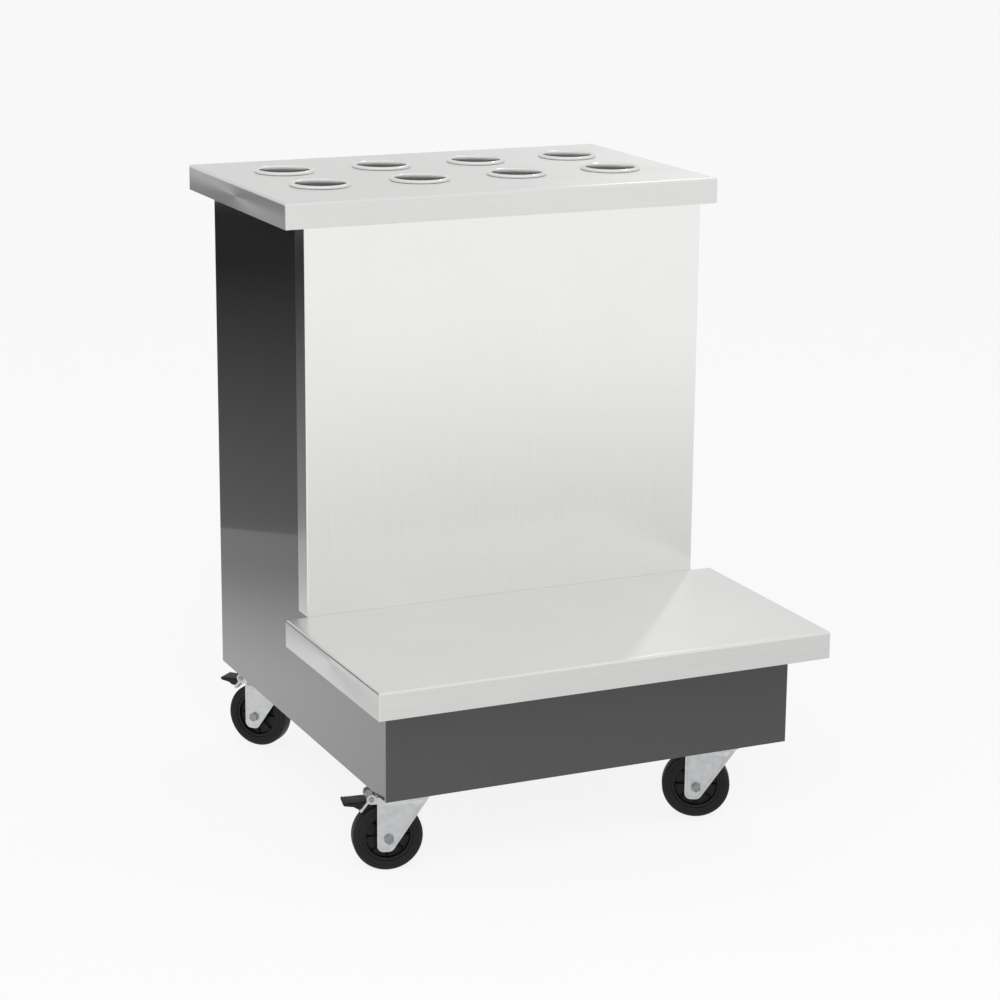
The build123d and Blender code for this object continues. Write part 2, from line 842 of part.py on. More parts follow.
kingpins, balls, caster_bolts = [], [], []
for corner in swivel_at_rest:
    x, y = caster_place(corner)
    braked = corner in braked_casters
    write(f"{corner}_caster_plate", Pos(x, y, 0) * caster_plate())
    write(f"{corner}_fork", at_caster(corner, fork(braked)))
    hardware = [axle_bolt(), axle_nut(), axle_bush()]
    if braked:
        hardware.append(brake_pin())
        write(f"{corner}_brake_arm", at_caster(corner, brake_arm()))
        write(f"{corner}_brake_pedal", at_caster(corner, brake_pedal()))
    write(f"{corner}_axle_set", *[at_caster(corner, piece) for piece in hardware])
    write(f"{corner}_wheel_core", at_caster(corner, wheel_core()))
    write(f"{corner}_tyre", at_caster(corner, tyre()))
    kingpins.append(Pos(x, y, 0) * kingpin())
    balls += [Pos(x, y, 0) * ball for ball in swivel_balls()]
    caster_bolts += caster_bolt_set(corner)
write("kingpins", *kingpins)
write("swivel_balls", *balls)
write("caster_bolts", *caster_bolts)
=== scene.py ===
# %% [markdown]
# # A tray and silverware stand
#
# Cafeterias keep trays and silverware on a wheeled stand like this one. A tall column of enamelled
# sheet steel carries a stainless top with eight round silverware cylinders, and a low stainless shelf in
# front of it takes the trays. The construction comes in as a fixed frame, already at its real size. This
# lesson dresses it: camera, light, finishes, and the pieces whose shape asks for a real surface.

import json
import math

import bmesh
import bpy
import numpy as np
from mathutils import Matrix, Vector

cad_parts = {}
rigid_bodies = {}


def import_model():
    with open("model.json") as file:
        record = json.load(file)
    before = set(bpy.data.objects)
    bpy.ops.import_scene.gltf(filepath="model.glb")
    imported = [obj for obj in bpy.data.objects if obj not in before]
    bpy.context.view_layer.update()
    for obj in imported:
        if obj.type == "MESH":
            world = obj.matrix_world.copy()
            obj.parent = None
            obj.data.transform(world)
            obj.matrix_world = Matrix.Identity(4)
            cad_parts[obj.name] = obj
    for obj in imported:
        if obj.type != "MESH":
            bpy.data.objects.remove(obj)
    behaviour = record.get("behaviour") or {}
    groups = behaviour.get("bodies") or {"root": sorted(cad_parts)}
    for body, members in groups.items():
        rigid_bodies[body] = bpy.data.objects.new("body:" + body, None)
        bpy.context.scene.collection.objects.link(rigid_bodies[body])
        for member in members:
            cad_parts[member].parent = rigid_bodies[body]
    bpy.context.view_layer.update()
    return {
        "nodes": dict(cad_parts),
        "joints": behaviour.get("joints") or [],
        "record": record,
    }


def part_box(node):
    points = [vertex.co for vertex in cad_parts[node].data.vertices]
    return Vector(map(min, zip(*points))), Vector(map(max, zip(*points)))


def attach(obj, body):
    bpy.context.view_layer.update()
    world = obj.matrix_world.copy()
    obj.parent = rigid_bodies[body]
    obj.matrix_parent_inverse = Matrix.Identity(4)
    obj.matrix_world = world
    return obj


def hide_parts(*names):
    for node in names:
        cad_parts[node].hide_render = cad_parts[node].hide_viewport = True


for leftover in list(bpy.data.objects):
    bpy.data.objects.remove(leftover)
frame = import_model()
nodes = frame["nodes"]
joints = {joint["name"]: joint for joint in frame["joints"]}
scene = bpy.context.scene

# %% [markdown]
# ## Small helpers
#
# Sizes in this lesson are written in millimetres, because sheet metal is, and one constant turns them
# into Blender's metres. Colours are written as the hex codes of a paint chart. A hex code is gamma
# encoded, so one function turns it into the linear values that a renderer adds and multiplies.

# %% Units and colours
MM = 0.001


def linear(hex_code):
    """Each channel c of the code, from 0 to 1, becomes ((c + 0.055) / 1.055) to the power 2.4,
    or c / 12.92 where it is below 0.04045."""
    channels = np.array([int(hex_code[i:i + 2], 16) / 255 for i in (1, 3, 5)])
    values = np.where(channels <= 0.04045, channels / 12.92, ((channels + 0.055) / 1.055) ** 2.4)
    return (*values.tolist(), 1.0)


print("white is", linear("#FFFFFF"))

# %% [markdown]
# A material is a small tree of nodes. Written out by hand each node takes four or five lines, which
# hides the idea behind it. This one function adds any node: its own properties are keyword arguments,
# and a dictionary fills its sockets with numbers or with what other nodes put out.

# %% One function for every node
def add(tree, kind, inputs=None, **settings):
    """Adds a shader node, sets its properties, then fills each named socket with a value or a link. A
    node that is given as a value stands for its first output."""
    node = tree.nodes.new("ShaderNode" + kind)
    for name, value in settings.items():
        setattr(node, name, value)
    for key, value in (inputs or {}).items():
        if isinstance(value, bpy.types.Node):
            value = value.outputs[0]
        if isinstance(value, bpy.types.NodeSocket):
            tree.links.new(value, node.inputs[key])
        else:
            node.inputs[key].default_value = value
    return node


def new_material(name):
    """An empty material, its tree, and the object coordinates in metres that every pattern uses."""
    material = bpy.data.materials.new(name)
    material.use_nodes = True
    material.node_tree.nodes.clear()
    tree = material.node_tree
    return material, tree, add(tree, "TexCoord").outputs["Object"]


print("helpers", add.__name__, new_material.__name__)

# %% [markdown]
# ## The camera
#
# The photograph was taken with a long lens from the front left, a little above the top. Fitting a
# pinhole camera to the corners of the body, the shelf and the top gives the direction, the distance and
# the focal length. Blender wants the lens in millimetres on a 36 mm sensor, and the picture is square.

# %% Camera
IMAGE_WIDTH = 1000
SENSOR_WIDTH = 36.0
FOCAL_PIXELS = 2748.0
AZIMUTH = math.radians(-24.71)
ELEVATION = math.radians(14.79)
ROLL = math.radians(0.48)
DISTANCE = 5.149
AIM_PIXELS = (6.3, -35.3)
AIM_POINT = np.array([0.0, -0.0395, 0.645])


def photograph_camera():
    """Looks along (-sin a cos e, cos a cos e, -sin e), rolled about that line, and is shifted sideways
    so that the aim point falls AIM_PIXELS from the middle of the picture."""
    right = np.array([math.cos(AZIMUTH), math.sin(AZIMUTH), 0.0])
    level = np.array([-math.sin(AZIMUTH), math.cos(AZIMUTH), 0.0])
    forward = level * math.cos(ELEVATION) - np.array([0.0, 0.0, math.sin(ELEVATION)])
    up = np.cross(right, forward)
    turned_right = right * math.cos(ROLL) + up * math.sin(ROLL)
    turned_up = up * math.cos(ROLL) - right * math.sin(ROLL)
    per_pixel = DISTANCE / FOCAL_PIXELS
    place = AIM_POINT - forward * DISTANCE
    place = place - turned_right * AIM_PIXELS[0] * per_pixel + turned_up * AIM_PIXELS[1] * per_pixel
    data = bpy.data.cameras.new("photograph_view")
    data.sensor_width = SENSOR_WIDTH
    data.lens = FOCAL_PIXELS / IMAGE_WIDTH * SENSOR_WIDTH
    camera = bpy.data.objects.new("photograph_view", data)
    matrix = np.eye(4)
    matrix[:3, :3] = np.column_stack([turned_right, turned_up, -forward])
    matrix[:3, 3] = place
    camera.matrix_world = Matrix(matrix.tolist())
    scene.collection.objects.link(camera)
    return camera


camera = photograph_camera()
scene.camera = camera
print("lens", round(camera.data.lens, 2), "mm")
print("camera at", [round(v, 3) for v in camera.matrix_world.translation])

# %% [markdown]
# ## The studio
#
# The stand is photographed on white. Light strong enough to turn a floor white would burn out the pale
# steel, so the floor and the world show white by their own colour to the camera and to reflections,
# through the Light Path node, while the light that they throw stays at a plain level. In reflections the
# world is a little dimmer at the back, as a room is behind a lit set.

# %% The world
AMBIENT = 0.64
WORLD_FRONT = 1.0
WORLD_BACK = 0.78


def seen_in_gloss(tree, path):
    """1 for a ray that metal or glass has sent on, and 0 for any other."""
    return add(tree, "Math", {0: path["Is Glossy Ray"], 1: path["Is Transmission Ray"]}, operation="MAXIMUM")


def white_world():
    """White for camera rays, AMBIENT for the rays that carry light, and for glossy and transmission rays
    a white that falls evenly from WORLD_FRONT towards -Y to WORLD_BACK towards +Y."""
    world = bpy.data.worlds.new("white_studio")
    world.use_nodes = True
    tree = world.node_tree
    tree.nodes.clear()
    path = add(tree, "LightPath").outputs
    toward = add(tree, "TexCoord").outputs["Generated"]
    depth = add(tree, "SeparateXYZ", {0: toward}).outputs["Y"]
    white = add(tree, "MapRange", {
        "Value": depth, "From Min": -1.0, "From Max": 1.0, "To Min": WORLD_FRONT, "To Max": WORLD_BACK,
    })
    mirrored = add(tree, "MapRange", {
        "Value": seen_in_gloss(tree, path), "To Min": AMBIENT, "To Max": white,
    })
    strength = add(tree, "Math", {0: mirrored, 1: path["Is Camera Ray"]}, operation="MAXIMUM")
    background = add(tree, "Background", {"Color": linear("#FFFFFF"), "Strength": strength})
    add(tree, "OutputWorld", {"Surface": background})
    scene.world = world


white_world()
scene.view_settings.view_transform = "Standard"
print("ambient light", AMBIENT)

# %% [markdown]
# Gloss enamel and steel show what stands round them. In the photograph the side panel mirrors the floor
# in its lower part, and above a sharp level line a dark part of the room. Traced back by way of the
# panel, that line lies on the floor behind the left side, about two metres away. So the floor that
# reflections see darkens towards that line. To the camera it stays white, and keeps a share of its lit
# surface, and with it the soft shadow of the stand.

# %% The floor
FLOOR_SIZE = 60.0
GLOW_FOR_CAMERA = 0.85
GLOW_FOR_GLOSS = 0.90
ROOM_FOOT = np.array([-1.0, 1.9])
ROOM_ALONG = np.array([0.735, 0.678])
ROOM_FADE = (0.2, 1.2)
ROOM_FLOOR_TONE = 0.40
DIM_CENTRE = (0.9, -1.2, 0.0)
DIM_REACH = 3.0
DIM_TONE = 0.62


def studio_board(name, finish, corners):
    """A flat board between four corners with an empty material, for things outside the stand."""
    mesh = bpy.data.meshes.new(name)
    mesh.from_pydata(corners, [], [(0, 1, 2, 3)])
    board = bpy.data.objects.new(name, mesh)
    scene.collection.objects.link(board)
    material, tree, place = new_material(finish)
    mesh.materials.append(material)
    return board, tree, place


def white_floor():
    """A square floor. Its glow for reflections rises from ROOM_FLOOR_TONE near the foot of the dark room
    to 1, between the two distances of ROOM_FADE in metres before the line of the foot. It is dimmer
    at the front right too, from DIM_TONE at DIM_CENTRE to 1 at DIM_REACH metres from it."""
    half = FLOOR_SIZE / 2
    corners = [(-half, -half, 0), (half, -half, 0), (half, half, 0), (-half, half, 0)]
    floor, tree, place = studio_board("floor", "white_studio_floor", corners)
    toward_room = (-ROOM_ALONG[1], ROOM_ALONG[0], 0.0)
    foot = float(np.dot(toward_room[:2], ROOM_FOOT))
    reach = add(tree, "VectorMath", {0: place, 1: toward_room}, operation="DOT_PRODUCT").outputs["Value"]
    before = {"Value": reach, "From Min": foot - ROOM_FADE[0], "From Max": foot - ROOM_FADE[1]}
    tones = {"To Min": ROOM_FLOOR_TONE, "To Max": 1.0}
    fade = add(tree, "MapRange", {**before, **tones}, interpolation_type="SMOOTHSTEP")
    away = add(tree, "VectorMath", {0: place, 1: DIM_CENTRE}, operation="DISTANCE").outputs["Value"]
    near = add(tree, "MapRange", {"Value": away, "From Max": DIM_REACH, "To Min": DIM_TONE, "To Max": 1.0})
    glow = add(tree, "Math", {0: fade, 1: near}, operation="MULTIPLY")
    path = add(tree, "LightPath").outputs
    lit = add(tree, "BsdfDiffuse", {"Color": linear("#F8F8F8")})
    white = add(tree, "Emission", {"Strength": 1.0})
    mirrored = add(tree, "Emission", {"Strength": glow})
    gloss = add(tree, "Math", {0: seen_in_gloss(tree, path), 1: GLOW_FOR_GLOSS}, operation="MULTIPLY")
    direct = add(tree, "Math", {0: path["Is Camera Ray"], 1: GLOW_FOR_CAMERA}, operation="MULTIPLY")
    for_gloss = add(tree, "MixShader", {0: gloss, 1: lit, 2: mirrored})
    add(tree, "OutputMaterial", {"Surface": add(tree, "MixShader", {0: direct, 1: for_gloss, 2: white})})


white_floor()
print("floor", FLOOR_SIZE, "m")

# %% [markdown]
# The dark part of the room is a card that stands on that line. It is hidden from the camera and throws
# no shadow, so only reflections find it. It is blacker towards its top, like a room away from the lamps.

# %% The dark card
CARD_SPAN = (-4.5, 1.6)
CARD_HEIGHT = 0.85
CARD_TONES = (0.24, 0.02)
CARD_FADE_HEIGHT = 0.7


def dark_card():
    """A rectangle on the floor along foot + along * s, which glows with the first of CARD_TONES at its
    foot and falls to the second at CARD_FADE_HEIGHT."""
    start, end = (ROOM_FOOT + ROOM_ALONG * s for s in CARD_SPAN)
    corners = [(*start, 0.0), (*end, 0.0), (*end, CARD_HEIGHT), (*start, CARD_HEIGHT)]
    card, tree, place = studio_board("dark_card", "dark_card", corners)
    height = add(tree, "SeparateXYZ", {0: place}).outputs["Z"]
    tone = add(tree, "MapRange", {
        "Value": height, "From Max": CARD_FADE_HEIGHT, "To Min": CARD_TONES[0], "To Max": CARD_TONES[1],
    })
    add(tree, "OutputMaterial", {"Surface": add(tree, "Emission", {"Strength": tone})})
    card.visible_camera = False
    card.visible_diffuse = False
    card.visible_shadow = False
    card.visible_transmission = False


dark_card()
print("dark card", CARD_SPAN[1] - CARD_SPAN[0], "m wide")

# %% [markdown]
# Two soft lamps do the rest. One like a window at the back right draws the slanting edge of the
# column's shadow across the tray shelf. A wide one from the front left lifts the black wheels and the
# enamel a little.

# %% Lamps
LAMP_DISTANCE = 4.0


def soft_lamp(name, azimuth, elevation, size, power, in_reflections):
    """A square lamp on a sphere round the stand, turned to its middle. Azimuth is counted from +X."""
    data = bpy.data.lights.new(name, "AREA")
    data.shape = "SQUARE"
    data.size = size
    data.energy = power
    lamp = bpy.data.objects.new(name, data)
    a, e = math.radians(azimuth), math.radians(elevation)
    toward = Vector((math.cos(a) * math.cos(e), math.sin(a) * math.cos(e), math.sin(e)))
    lamp.location = Vector(AIM_POINT) + toward * LAMP_DISTANCE
    lamp.rotation_mode = "QUATERNION"
    lamp.rotation_quaternion = toward.to_track_quat("Z", "Y")
    lamp.visible_glossy = in_reflections
    lamp.visible_camera = False
    scene.collection.objects.link(lamp)
    print(name, power, "W")


soft_lamp("window_back_right", azimuth=44.7, elevation=47.0, size=0.12, power=5.2, in_reflections=True)
soft_lamp("front_left_fill", azimuth=-115.0, elevation=35.0, size=2.5, power=60.0, in_reflections=False)

# %% [markdown]
# ## Stainless steel
#
# The tops and the column front are austenitic stainless steel sheet with a No. 4 finish: the mill
# brushes it with a 150 grit belt, which leaves short parallel lines a few tenths of a millimetre apart.
# The eye sees a soft mirror, blurred across the lines far more than along them. A metal has no colour
# under its gloss, so the tone is the base colour at metallic 1, and the blur is the anisotropic
# roughness, turned round the axis that the lines follow. One pixel of the photograph is two
# millimetres wide, so the lines are drawn about three times as coarse as they are.

# %% Brushed sheet
LINE_SPACING = 0.9 * MM
LINE_LENGTH = 120 * MM
LINE_ROUGHNESS = 0.03
WIPE_SIZE = 180 * MM
SCRATCH_SIZE = (45 * MM, 1 * MM, 1 * MM)
SCRATCH_TURN = (0.5, 0.6, 0.7)
SCRATCH_ROUGHNESS = 0.08
SHEET_WAVE = 260 * MM


def brushed_stainless(name, grain, roughness, dark, light):
    """Steel sheet with belt lines along the axis grain, X, Y or Z: noise stretched along the lines gives
    tone, roughness and bump, wide noise gives wiped patches, and thin slanting noise faint scratches."""
    material, tree, place = new_material(name)
    line_size = [LINE_LENGTH if axis == grain else LINE_SPACING for axis in "XYZ"]
    along = add(tree, "Mapping", {"Vector": place, "Scale": [1 / v for v in line_size]})
    lines = add(tree, "TexNoise", {"Vector": along, "Scale": 1.0, "Detail": 3.0, "Roughness": 0.6})
    wiped = add(tree, "TexNoise", {"Vector": place, "Scale": 1 / WIPE_SIZE, "Detail": 4.0})
    wave = add(tree, "TexNoise", {"Vector": place, "Scale": 1 / SHEET_WAVE, "Detail": 1.0})
    slanting = add(tree, "Mapping", {
        "Vector": place, "Rotation": SCRATCH_TURN, "Scale": [1 / v for v in SCRATCH_SIZE],
    })
    thin = add(tree, "TexNoise", {"Vector": slanting, "Scale": 1.0, "Detail": 1.0})
    scratches = add(tree, "MapRange", {"Value": thin, "From Min": 0.66, "From Max": 0.74})
    tone = add(tree, "MapRange", {"Value": lines, "From Min": 0.3, "From Max": 0.7})
    colour = add(tree, "Mix", {0: tone, 6: linear(dark), 7: linear(light)}, data_type="RGBA")
    line_rough = add(tree, "MapRange", {
        "Value": tone, "To Min": roughness - LINE_ROUGHNESS, "To Max": roughness + LINE_ROUGHNESS,
    })
    wipe_rough = add(tree, "MapRange", {
        "Value": wiped, "From Min": 0.35, "From Max": 0.65, "To Min": -0.02, "To Max": 0.03,
    })
    even = add(tree, "Math", {0: line_rough, 1: wipe_rough}, operation="ADD")
    rough = add(tree, "Math", {0: scratches, 1: SCRATCH_ROUGHNESS, 2: even}, operation="MULTIPLY_ADD")
    waves = add(tree, "Bump", {"Strength": 0.3, "Distance": 0.3 * MM, "Height": wave})
    bump = add(tree, "Bump", {"Strength": 0.10, "Distance": 0.02 * MM, "Height": lines, "Normal": waves})
    tangent = add(tree, "Tangent", direction_type="RADIAL", axis=grain)
    surface = add(tree, "BsdfPrincipled", {
        "Base Color": colour.outputs[2], "Metallic": 1.0, "Roughness": rough, "Anisotropic": 0.55,
        "Tangent": tangent, "Normal": bump,
    })
    add(tree, "OutputMaterial", {"Surface": surface})
    return material


STAINLESS_TOP = brushed_stainless("stainless_no4_brushed_across", "X", 0.36, "#E4E4E3", "#EBEBEA")
STAINLESS_FRONT = brushed_stainless("stainless_no4_brushed_upright", "Z", 0.20, "#F0F0EF", "#F5F5F4")
print("brushed steel", LINE_SPACING / MM, "mm lines")

# %% [markdown]
# The silverware cylinders are spun from thin stainless, so their lines run round them and are finer than the
# belt's, and the mirror is sharper. The rim is bright steel, and the wall below it is painted a darker grey:
# this is painted shade deep inside the cup, not a finish of the steel. This finish and all that follow end
# alike, in two colours, two roughnesses and a bump, so one function ends them.

# %% Spun stainless, with painted shade deep in the cups
SPIN_LINE = 0.8 * MM
SPIN_CLOUD = 60 * MM
CUP_SHADE_DEPTH = 9 * MM
CUP_SHADE_FADE = 4 * MM


def surface(tree, tone, colours, wear, roughness, relief, sockets):
    """The colour goes from the first of colours to the second with tone, and the roughness from its
    first to its second with wear. relief is the bump, and sockets is what the shader has besides."""
    colour = add(tree, "Mix", {0: tone, 6: colours[0], 7: colours[1]}, data_type="RGBA")
    rough = add(tree, "MapRange", {"Value": wear, "To Min": roughness[0], "To Max": roughness[1]})
    common = {"Base Color": colour.outputs[2], "Roughness": rough, "Normal": relief}
    add(tree, "OutputMaterial", {"Surface": add(tree, "BsdfPrincipled", {**common, **sockets})})


def spun_stainless():
    """Rings of noise round the cups for tone, roughness and bump. The colour goes from a grey of painted
    shade, deep in the cup, to the bright rim tone, over a short fade at a set depth below the top of the
    rims."""
    material, tree, place = new_material("stainless_spun_with_painted_cup_shade")
    ring_size = (SPIN_CLOUD, SPIN_CLOUD, SPIN_LINE)
    around = add(tree, "Mapping", {"Vector": place, "Scale": [1 / v for v in ring_size]})
    rings = add(tree, "TexNoise", {"Vector": around, "Scale": 1.0, "Detail": 3.0})
    height = add(tree, "SeparateXYZ", {0: place}).outputs["Z"]
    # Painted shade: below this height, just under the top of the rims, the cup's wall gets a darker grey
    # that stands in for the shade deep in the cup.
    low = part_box("silverware_cylinder_1")[1][2] - CUP_SHADE_DEPTH
    shade_to_rim = add(tree, "MapRange", {"Value": height, "From Min": low, "From Max": low + CUP_SHADE_FADE})
    # The first pair of colours is the painted shade on the wall inside the cup, and the second is the bright
    # rim.
    tones = [
        add(tree, "Mix", {0: rings, 6: linear(dark), 7: linear(light)}, data_type="RGBA").outputs[2]
        for dark, light in (("#989897", "#B4B4B3"), ("#E6E6E5", "#F2F2F1"))
    ]
    bump = add(tree, "Bump", {"Strength": 0.1, "Distance": 0.01 * MM, "Height": rings})
    surface(tree, shade_to_rim, tones, rings, (0.14, 0.24), bump, {"Metallic": 1.0})
    return material


STAINLESS_SPUN = spun_stainless()
print("spun steel", SPIN_LINE / MM, "mm rings")

# %% [markdown]
# ## Charcoal enamel
#
# The body is steel sheet in charcoal enamel, sprayed and baked. Enamel is a dark film under a smooth
# clear skin, so it is a dielectric with a clear coat: dark when seen straight on, and a clear mirror at
# a slant. Sprayed enamel is never quite flat. Its skin has the faint swell that painters call orange
# peel, some five millimetres across. Trolleys are kicked and mopped round, so near the floor the gloss
# is a little duller, in fine scuffs.

# %% Enamel
PEEL_SIZE = 5 * MM
SCUFF_SIZE = (14 * MM, 14 * MM, 2.5 * MM)
SCUFF_HEIGHTS = (0.36, 0.16)


def charcoal_enamel():
    """Scuffs are flat noise above a threshold, times a share that rises from 0 to 1 between the two
    SCUFF_HEIGHTS in metres. They set tone and roughness. Wide waves and fine peel give the bump."""
    material, tree, place = new_material("charcoal_baked_enamel")
    peel = add(tree, "TexNoise", {"Vector": place, "Scale": 1 / PEEL_SIZE, "Detail": 1.0})
    wave = add(tree, "TexNoise", {"Vector": place, "Scale": 1 / SHEET_WAVE, "Detail": 1.0})
    flat = add(tree, "Mapping", {"Vector": place, "Scale": [1 / v for v in SCUFF_SIZE]})
    marks = add(tree, "TexNoise", {"Vector": flat, "Scale": 1.0, "Detail": 4.0})
    height = add(tree, "SeparateXYZ", {0: place}).outputs["Z"]
    low = add(tree, "MapRange", {
        "Value": height, "From Min": SCUFF_HEIGHTS[0], "From Max": SCUFF_HEIGHTS[1],
    })
    thin = add(tree, "MapRange", {"Value": marks, "From Min": 0.58, "From Max": 0.74})
    scuffs = add(tree, "Math", {0: low, 1: thin}, operation="MULTIPLY")
    waves = add(tree, "Bump", {"Strength": 0.4, "Distance": 0.4 * MM, "Height": wave})
    bump = add(tree, "Bump", {"Strength": 0.05, "Distance": 0.05 * MM, "Height": peel, "Normal": waves})
    coat = {"IOR": 1.5, "Coat Weight": 1.0, "Coat Roughness": 0.03, "Coat IOR": 1.6, "Coat Normal": waves}
    surface(tree, scuffs, (linear("#2C2C2C"), linear("#3A3A3A")), scuffs, (0.12, 0.32), bump, coat)
    return material


ENAMEL = charcoal_enamel()
print("enamel, orange peel", PEEL_SIZE / MM, "mm")

# %% [markdown]
# ## Zinc
#
# The frame inside is hot-dip galvanised: the zinc freezes into flat crystals, the spangle, each with a
# dull grey of its own. A Voronoi pattern has such cells, and a plain random colour in each.

# %% Galvanised sheet
SPANGLE_SIZE = 9 * MM
ZINC_GRAIN = 1.2 * MM


def galvanised_sheet():
    """Each crystal's random value sets its tone and roughness, and fine noise gives the bump."""
    material, tree, place = new_material("galvanised_steel_spangle")
    crystals = add(tree, "TexVoronoi", {"Vector": place, "Scale": 1 / SPANGLE_SIZE})
    grey = add(tree, "SeparateColor", {0: crystals.outputs["Color"]})
    grain = add(tree, "TexNoise", {"Vector": place, "Scale": 1 / ZINC_GRAIN, "Detail": 2.0})
    bump = add(tree, "Bump", {"Strength": 0.1, "Distance": 0.03 * MM, "Height": grain})
    colours = (linear("#B2B4B5"), linear("#CDCFD0"))
    surface(tree, grey, colours, grey, (0.36, 0.52), bump, {"Metallic": 1.0})
    return material


GALVANISED = galvanised_sheet()
print("spangle", SPANGLE_SIZE / MM, "mm")

# %% [markdown]
# The forks and plates of the casters are electroplated instead, with bright zinc under a clear
# passivation, so they are smooth and light, with a faint cloudiness. Bolts and screws have a thinner
# plating over rolled steel, which reads darker.

# %% Electroplated zinc
CLOUD_GRAINS = 8
PLATE_ROUGHNESS = 0.08


def plated_zinc(name, dark, light, roughness, grain_size):
    """Smooth plating: fine grain gives bump and roughness, and clouds CLOUD_GRAINS wide give tone."""
    material, tree, place = new_material(name)
    grain = add(tree, "TexNoise", {"Vector": place, "Scale": 1 / grain_size, "Detail": 3.0})
    cloud = add(tree, "TexNoise", {"Vector": place, "Scale": 1 / grain_size / CLOUD_GRAINS, "Detail": 2.0})
    share = add(tree, "MapRange", {"Value": cloud, "From Min": 0.3, "From Max": 0.7})
    bump = add(tree, "Bump", {"Strength": 0.12, "Distance": 0.02 * MM, "Height": grain})
    ends = (roughness - PLATE_ROUGHNESS, roughness + PLATE_ROUGHNESS)
    surface(tree, share, (linear(dark), linear(light)), grain, ends, bump, {"Metallic": 1.0})
    return material


ZINC_PLATE = plated_zinc("zinc_electroplate_bright", "#CBCDCE", "#DADBDC", 0.33, 1.5 * MM)
ZINC_BOLT = plated_zinc("zinc_on_rolled_steel", "#8E9092", "#A6A8A9", 0.30, 0.8 * MM)
print("plated zinc", ZINC_PLATE.name, ZINC_BOLT.name)

# %% [markdown]
# ## Rubber and plastics
#
# The tyres are hard black rubber, moulded, matt and a little dusty. The wheel centres are polypropylene
# and the pedals nylon, both black and moulded with a fine leather-like grain, nylon the glossier.

# %% Black mouldings
DUST_SIZE = 25 * MM
DUST_ROUGHNESS = 0.05


def moulded_black(name, dark, light, roughness, ior, grain_size, depth):
    """A black moulding: fine grain in the bump, and wide clouds of dust in tone and roughness."""
    material, tree, place = new_material(name)
    grain = add(tree, "TexNoise", {"Vector": place, "Scale": 1 / grain_size, "Detail": 3.0})
    dust = add(tree, "TexNoise", {"Vector": place, "Scale": 1 / DUST_SIZE, "Detail": 4.0})
    share = add(tree, "MapRange", {"Value": dust, "From Min": 0.35, "From Max": 0.7})
    bump = add(tree, "Bump", {"Strength": 0.3, "Distance": depth, "Height": grain})
    ends = (roughness - DUST_ROUGHNESS, roughness + DUST_ROUGHNESS)
    gloss = {"IOR": ior, "Specular IOR Level": 0.3}
    surface(tree, share, (linear(dark), linear(light)), share, ends, bump, gloss)
    return material


RUBBER = moulded_black("hard_black_rubber", "#101010", "#191919", 0.55, 1.52, 0.9 * MM, 0.06 * MM)
CORE_PLASTIC = moulded_black("black_polypropylene", "#0F0F0F", "#161616", 0.42, 1.49, 0.7 * MM, 0.04 * MM)
PEDAL_PLASTIC = moulded_black("black_nylon", "#0E0E0E", "#151515", 0.34, 1.53, 0.7 * MM, 0.04 * MM)
print("black mouldings", RUBBER.name, CORE_PLASTIC.name, PEDAL_PLASTIC.name)

# %% [markdown]
# Each CAD node already names the finish it has. Here every one gets the full material in its slot. The
# folded sheets, the frame and the plates stay the construction's own meshes, because their shape is
# right: true bends, holes and hems.

# %% Finishes on the frame's own pieces
FINISHES = {
    "stainless_top": STAINLESS_TOP,
    "stainless_panel": STAINLESS_FRONT,
    "stainless_cylinder": STAINLESS_SPUN,
    "enamel_panel": ENAMEL,
    "galvanised_frame": GALVANISED,
    "zinc_plate": ZINC_PLATE,
    "bright_fastener": ZINC_BOLT,
    "black_rubber": RUBBER,
    "black_core": CORE_PLASTIC,
    "black_pedal": PEDAL_PLASTIC,
}
for subpart in frame["record"]["subparts"]:
    nodes[subpart["node"]].data.materials[0] = FINISHES[subpart["material_slot"]]
print("finishes", len(FINISHES))

# %% [markdown]
# ## From points to a piece
#
# Round and pressed parts deserve real surfaces. Each one is worked out with numpy as a grid of points,
# a function of two parameters, in millimetres. One function numbers the quads of such a grid. Another
# joins several grids into one mesh, merges the points that meet at seams and poles, and then turns all
# faces outward.

# %% Grids and pieces
MERGE_DISTANCE = 0.01 * MM
COLLAPSE_DISTANCE = 0.001 * MM
triangles = {}


def grid(points, loop_rows=False, loop_columns=False):
    """The points as a list, with quads that join point (i, j) to (i, j + 1), (i + 1, j + 1) and
    (i + 1, j). A loop joins the last row or column to the first."""
    rows, columns = points.shape[:2]
    last_row, last_column = rows if loop_rows else rows - 1, columns if loop_columns else columns - 1
    i, j = np.meshgrid(np.arange(last_row), np.arange(last_column), indexing="ij")
    below, beside = (i + 1) % rows * columns, (j + 1) % columns
    quads = np.stack([i * columns + j, i * columns + beside, below + beside, below + j], -1)
    return points.reshape(-1, 3), quads.reshape(-1, 4)


